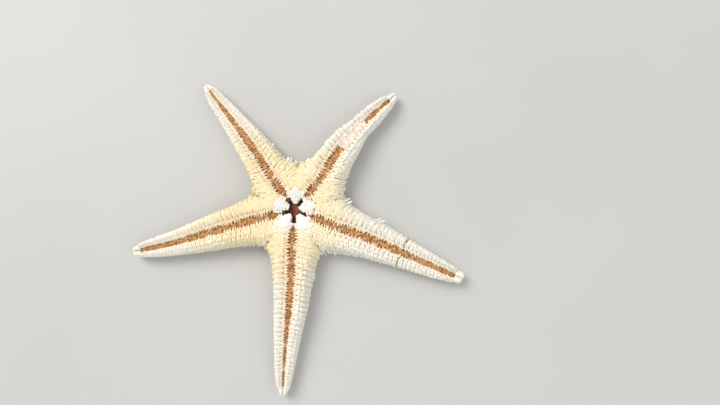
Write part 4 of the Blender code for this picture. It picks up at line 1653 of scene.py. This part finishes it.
def make_membrane():
    finish = Finish("mouth_skin", 0.55)
    # painted shade: the skin turns near black towards its ragged edge, under the jaws
    ragged = finish.from_mouth() + (finish.mottle(0.5 * MM) - 0.5) * (0.9 * MM)
    colour = finish.mix(finish.limit(ragged, 0.25 * MM, 1.5 * MM), RUSSET, LIVER_EDGE_SHADE)
    material = finish.end(colour, finish.mottle(0.12 * MM), 0.04 * MM)
    mesh = as_mesh(bent_grid(180, 40, membrane_point), "mouth_membrane")
    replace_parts(add_piece(mesh, material), "mouth_skin")


make_membrane()

# %% [markdown]
# ## The sieve plate
#
# Water enters the animal's canals through a small button on its back, scored with fine winding grooves. It is
# a low dome whose surface is pressed in along waves that run outwards.

# %% Sieve plate
SIEVE_LOW, SIEVE_RIM = 0.10 * MM, 0.42 * MM


def sieve_point(turn, share):
    """A point of the dome, whose grooves wind as they run outwards."""
    angle = 2 * math.pi * turn
    reach = SIEVE_RADIUS * share
    winding = 1.6 * math.sin(3 * angle) + 3.0 * share
    groove = 0.07 * MM * (0.5 + 0.5 * math.cos(13 * angle + winding * 2)) * min(2.5 * share, 1.0)
    height = SIEVE_LOW + (SIEVE_RIM - SIEVE_LOW) * share**3 + groove
    return sieve_centre + Vector((reach * math.cos(angle), reach * math.sin(angle), height))


def make_sieve():
    mesh = as_mesh(bent_grid(160, 24, sieve_point), "sieve_button")
    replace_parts(add_piece(mesh, chalky("sieve_chalk", CHALK, CHALK)), "sieve_plate")


make_sieve()

# %% [markdown]
# ## Floor, light and camera
#
# A plain pale floor, one soft light from the upper left and a little light from all round, as on a bright day
# indoors. The camera looks almost straight down, turned a few degrees.

# %% The stage
FLOOR_SIZE = 1.0
CAMERA_PLACE = (22.83 * MM, -9.26 * MM, 109.24 * MM)
CAMERA_TURN = (0.10472, 0.10662, 0.03099)
CAMERA_LENS = 31
FLOOR_GREYS = ((0.53, 0.52, 0.50, 1), (0.56, 0.55, 0.53, 1))
ROOM_COLOUR, ROOM_LIGHT = (0.97, 0.98, 1.0, 1), 0.64


def make_floor():
    finish = Finish("floor_paint", 0.6)
    colour = finish.mix(finish.blotches(60 * MM, 0.3, 0.7), *FLOOR_GREYS)
    small = bmesh.new()
    bmesh.ops.create_grid(small, x_segments=4, y_segments=4, size=FLOOR_SIZE / 2)
    mesh = as_mesh(small, "floor")
    mesh.materials.append(finish.end(colour))
    floor = bpy.data.objects.new("floor", mesh)
    bpy.context.scene.collection.objects.link(floor)


def make_light(name, place, width, power, colour):
    """A soft square light aimed at the origin."""
    lamp = bpy.data.lights.new(name, "AREA")
    lamp.size, lamp.energy, lamp.color = width, power, colour
    light = bpy.data.objects.new(name, lamp)
    light.location = place
    light.rotation_euler = Vector(place).to_track_quat("Z", "Y").to_euler()
    bpy.context.scene.collection.objects.link(light)


def make_camera():
    lens = bpy.data.cameras.new("camera")
    lens.lens, lens.sensor_width = CAMERA_LENS, 36
    lens.clip_start, lens.clip_end = 1 * MM, 10
    camera = bpy.data.objects.new("camera", lens)
    camera.location, camera.rotation_euler = CAMERA_PLACE, CAMERA_TURN
    bpy.context.scene.collection.objects.link(camera)
    bpy.context.scene.camera = camera


def make_room():
    """The even light from all round."""
    world = bpy.data.worlds.new("room")
    world.use_nodes = True
    background = world.node_tree.nodes["Background"]
    background.inputs["Color"].default_value = ROOM_COLOUR
    background.inputs["Strength"].default_value = ROOM_LIGHT
    bpy.context.scene.world = world


make_floor()
make_light("window", (-0.22, 0.20, 0.38), 0.26, 1.60, (1.0, 0.98, 0.95))
make_light("fill", (0.30, -0.15, 0.35), 0.40, 0.55, (0.96, 0.98, 1.0))
make_camera()
make_room()
bpy.context.scene.view_settings.view_transform = "Standard"
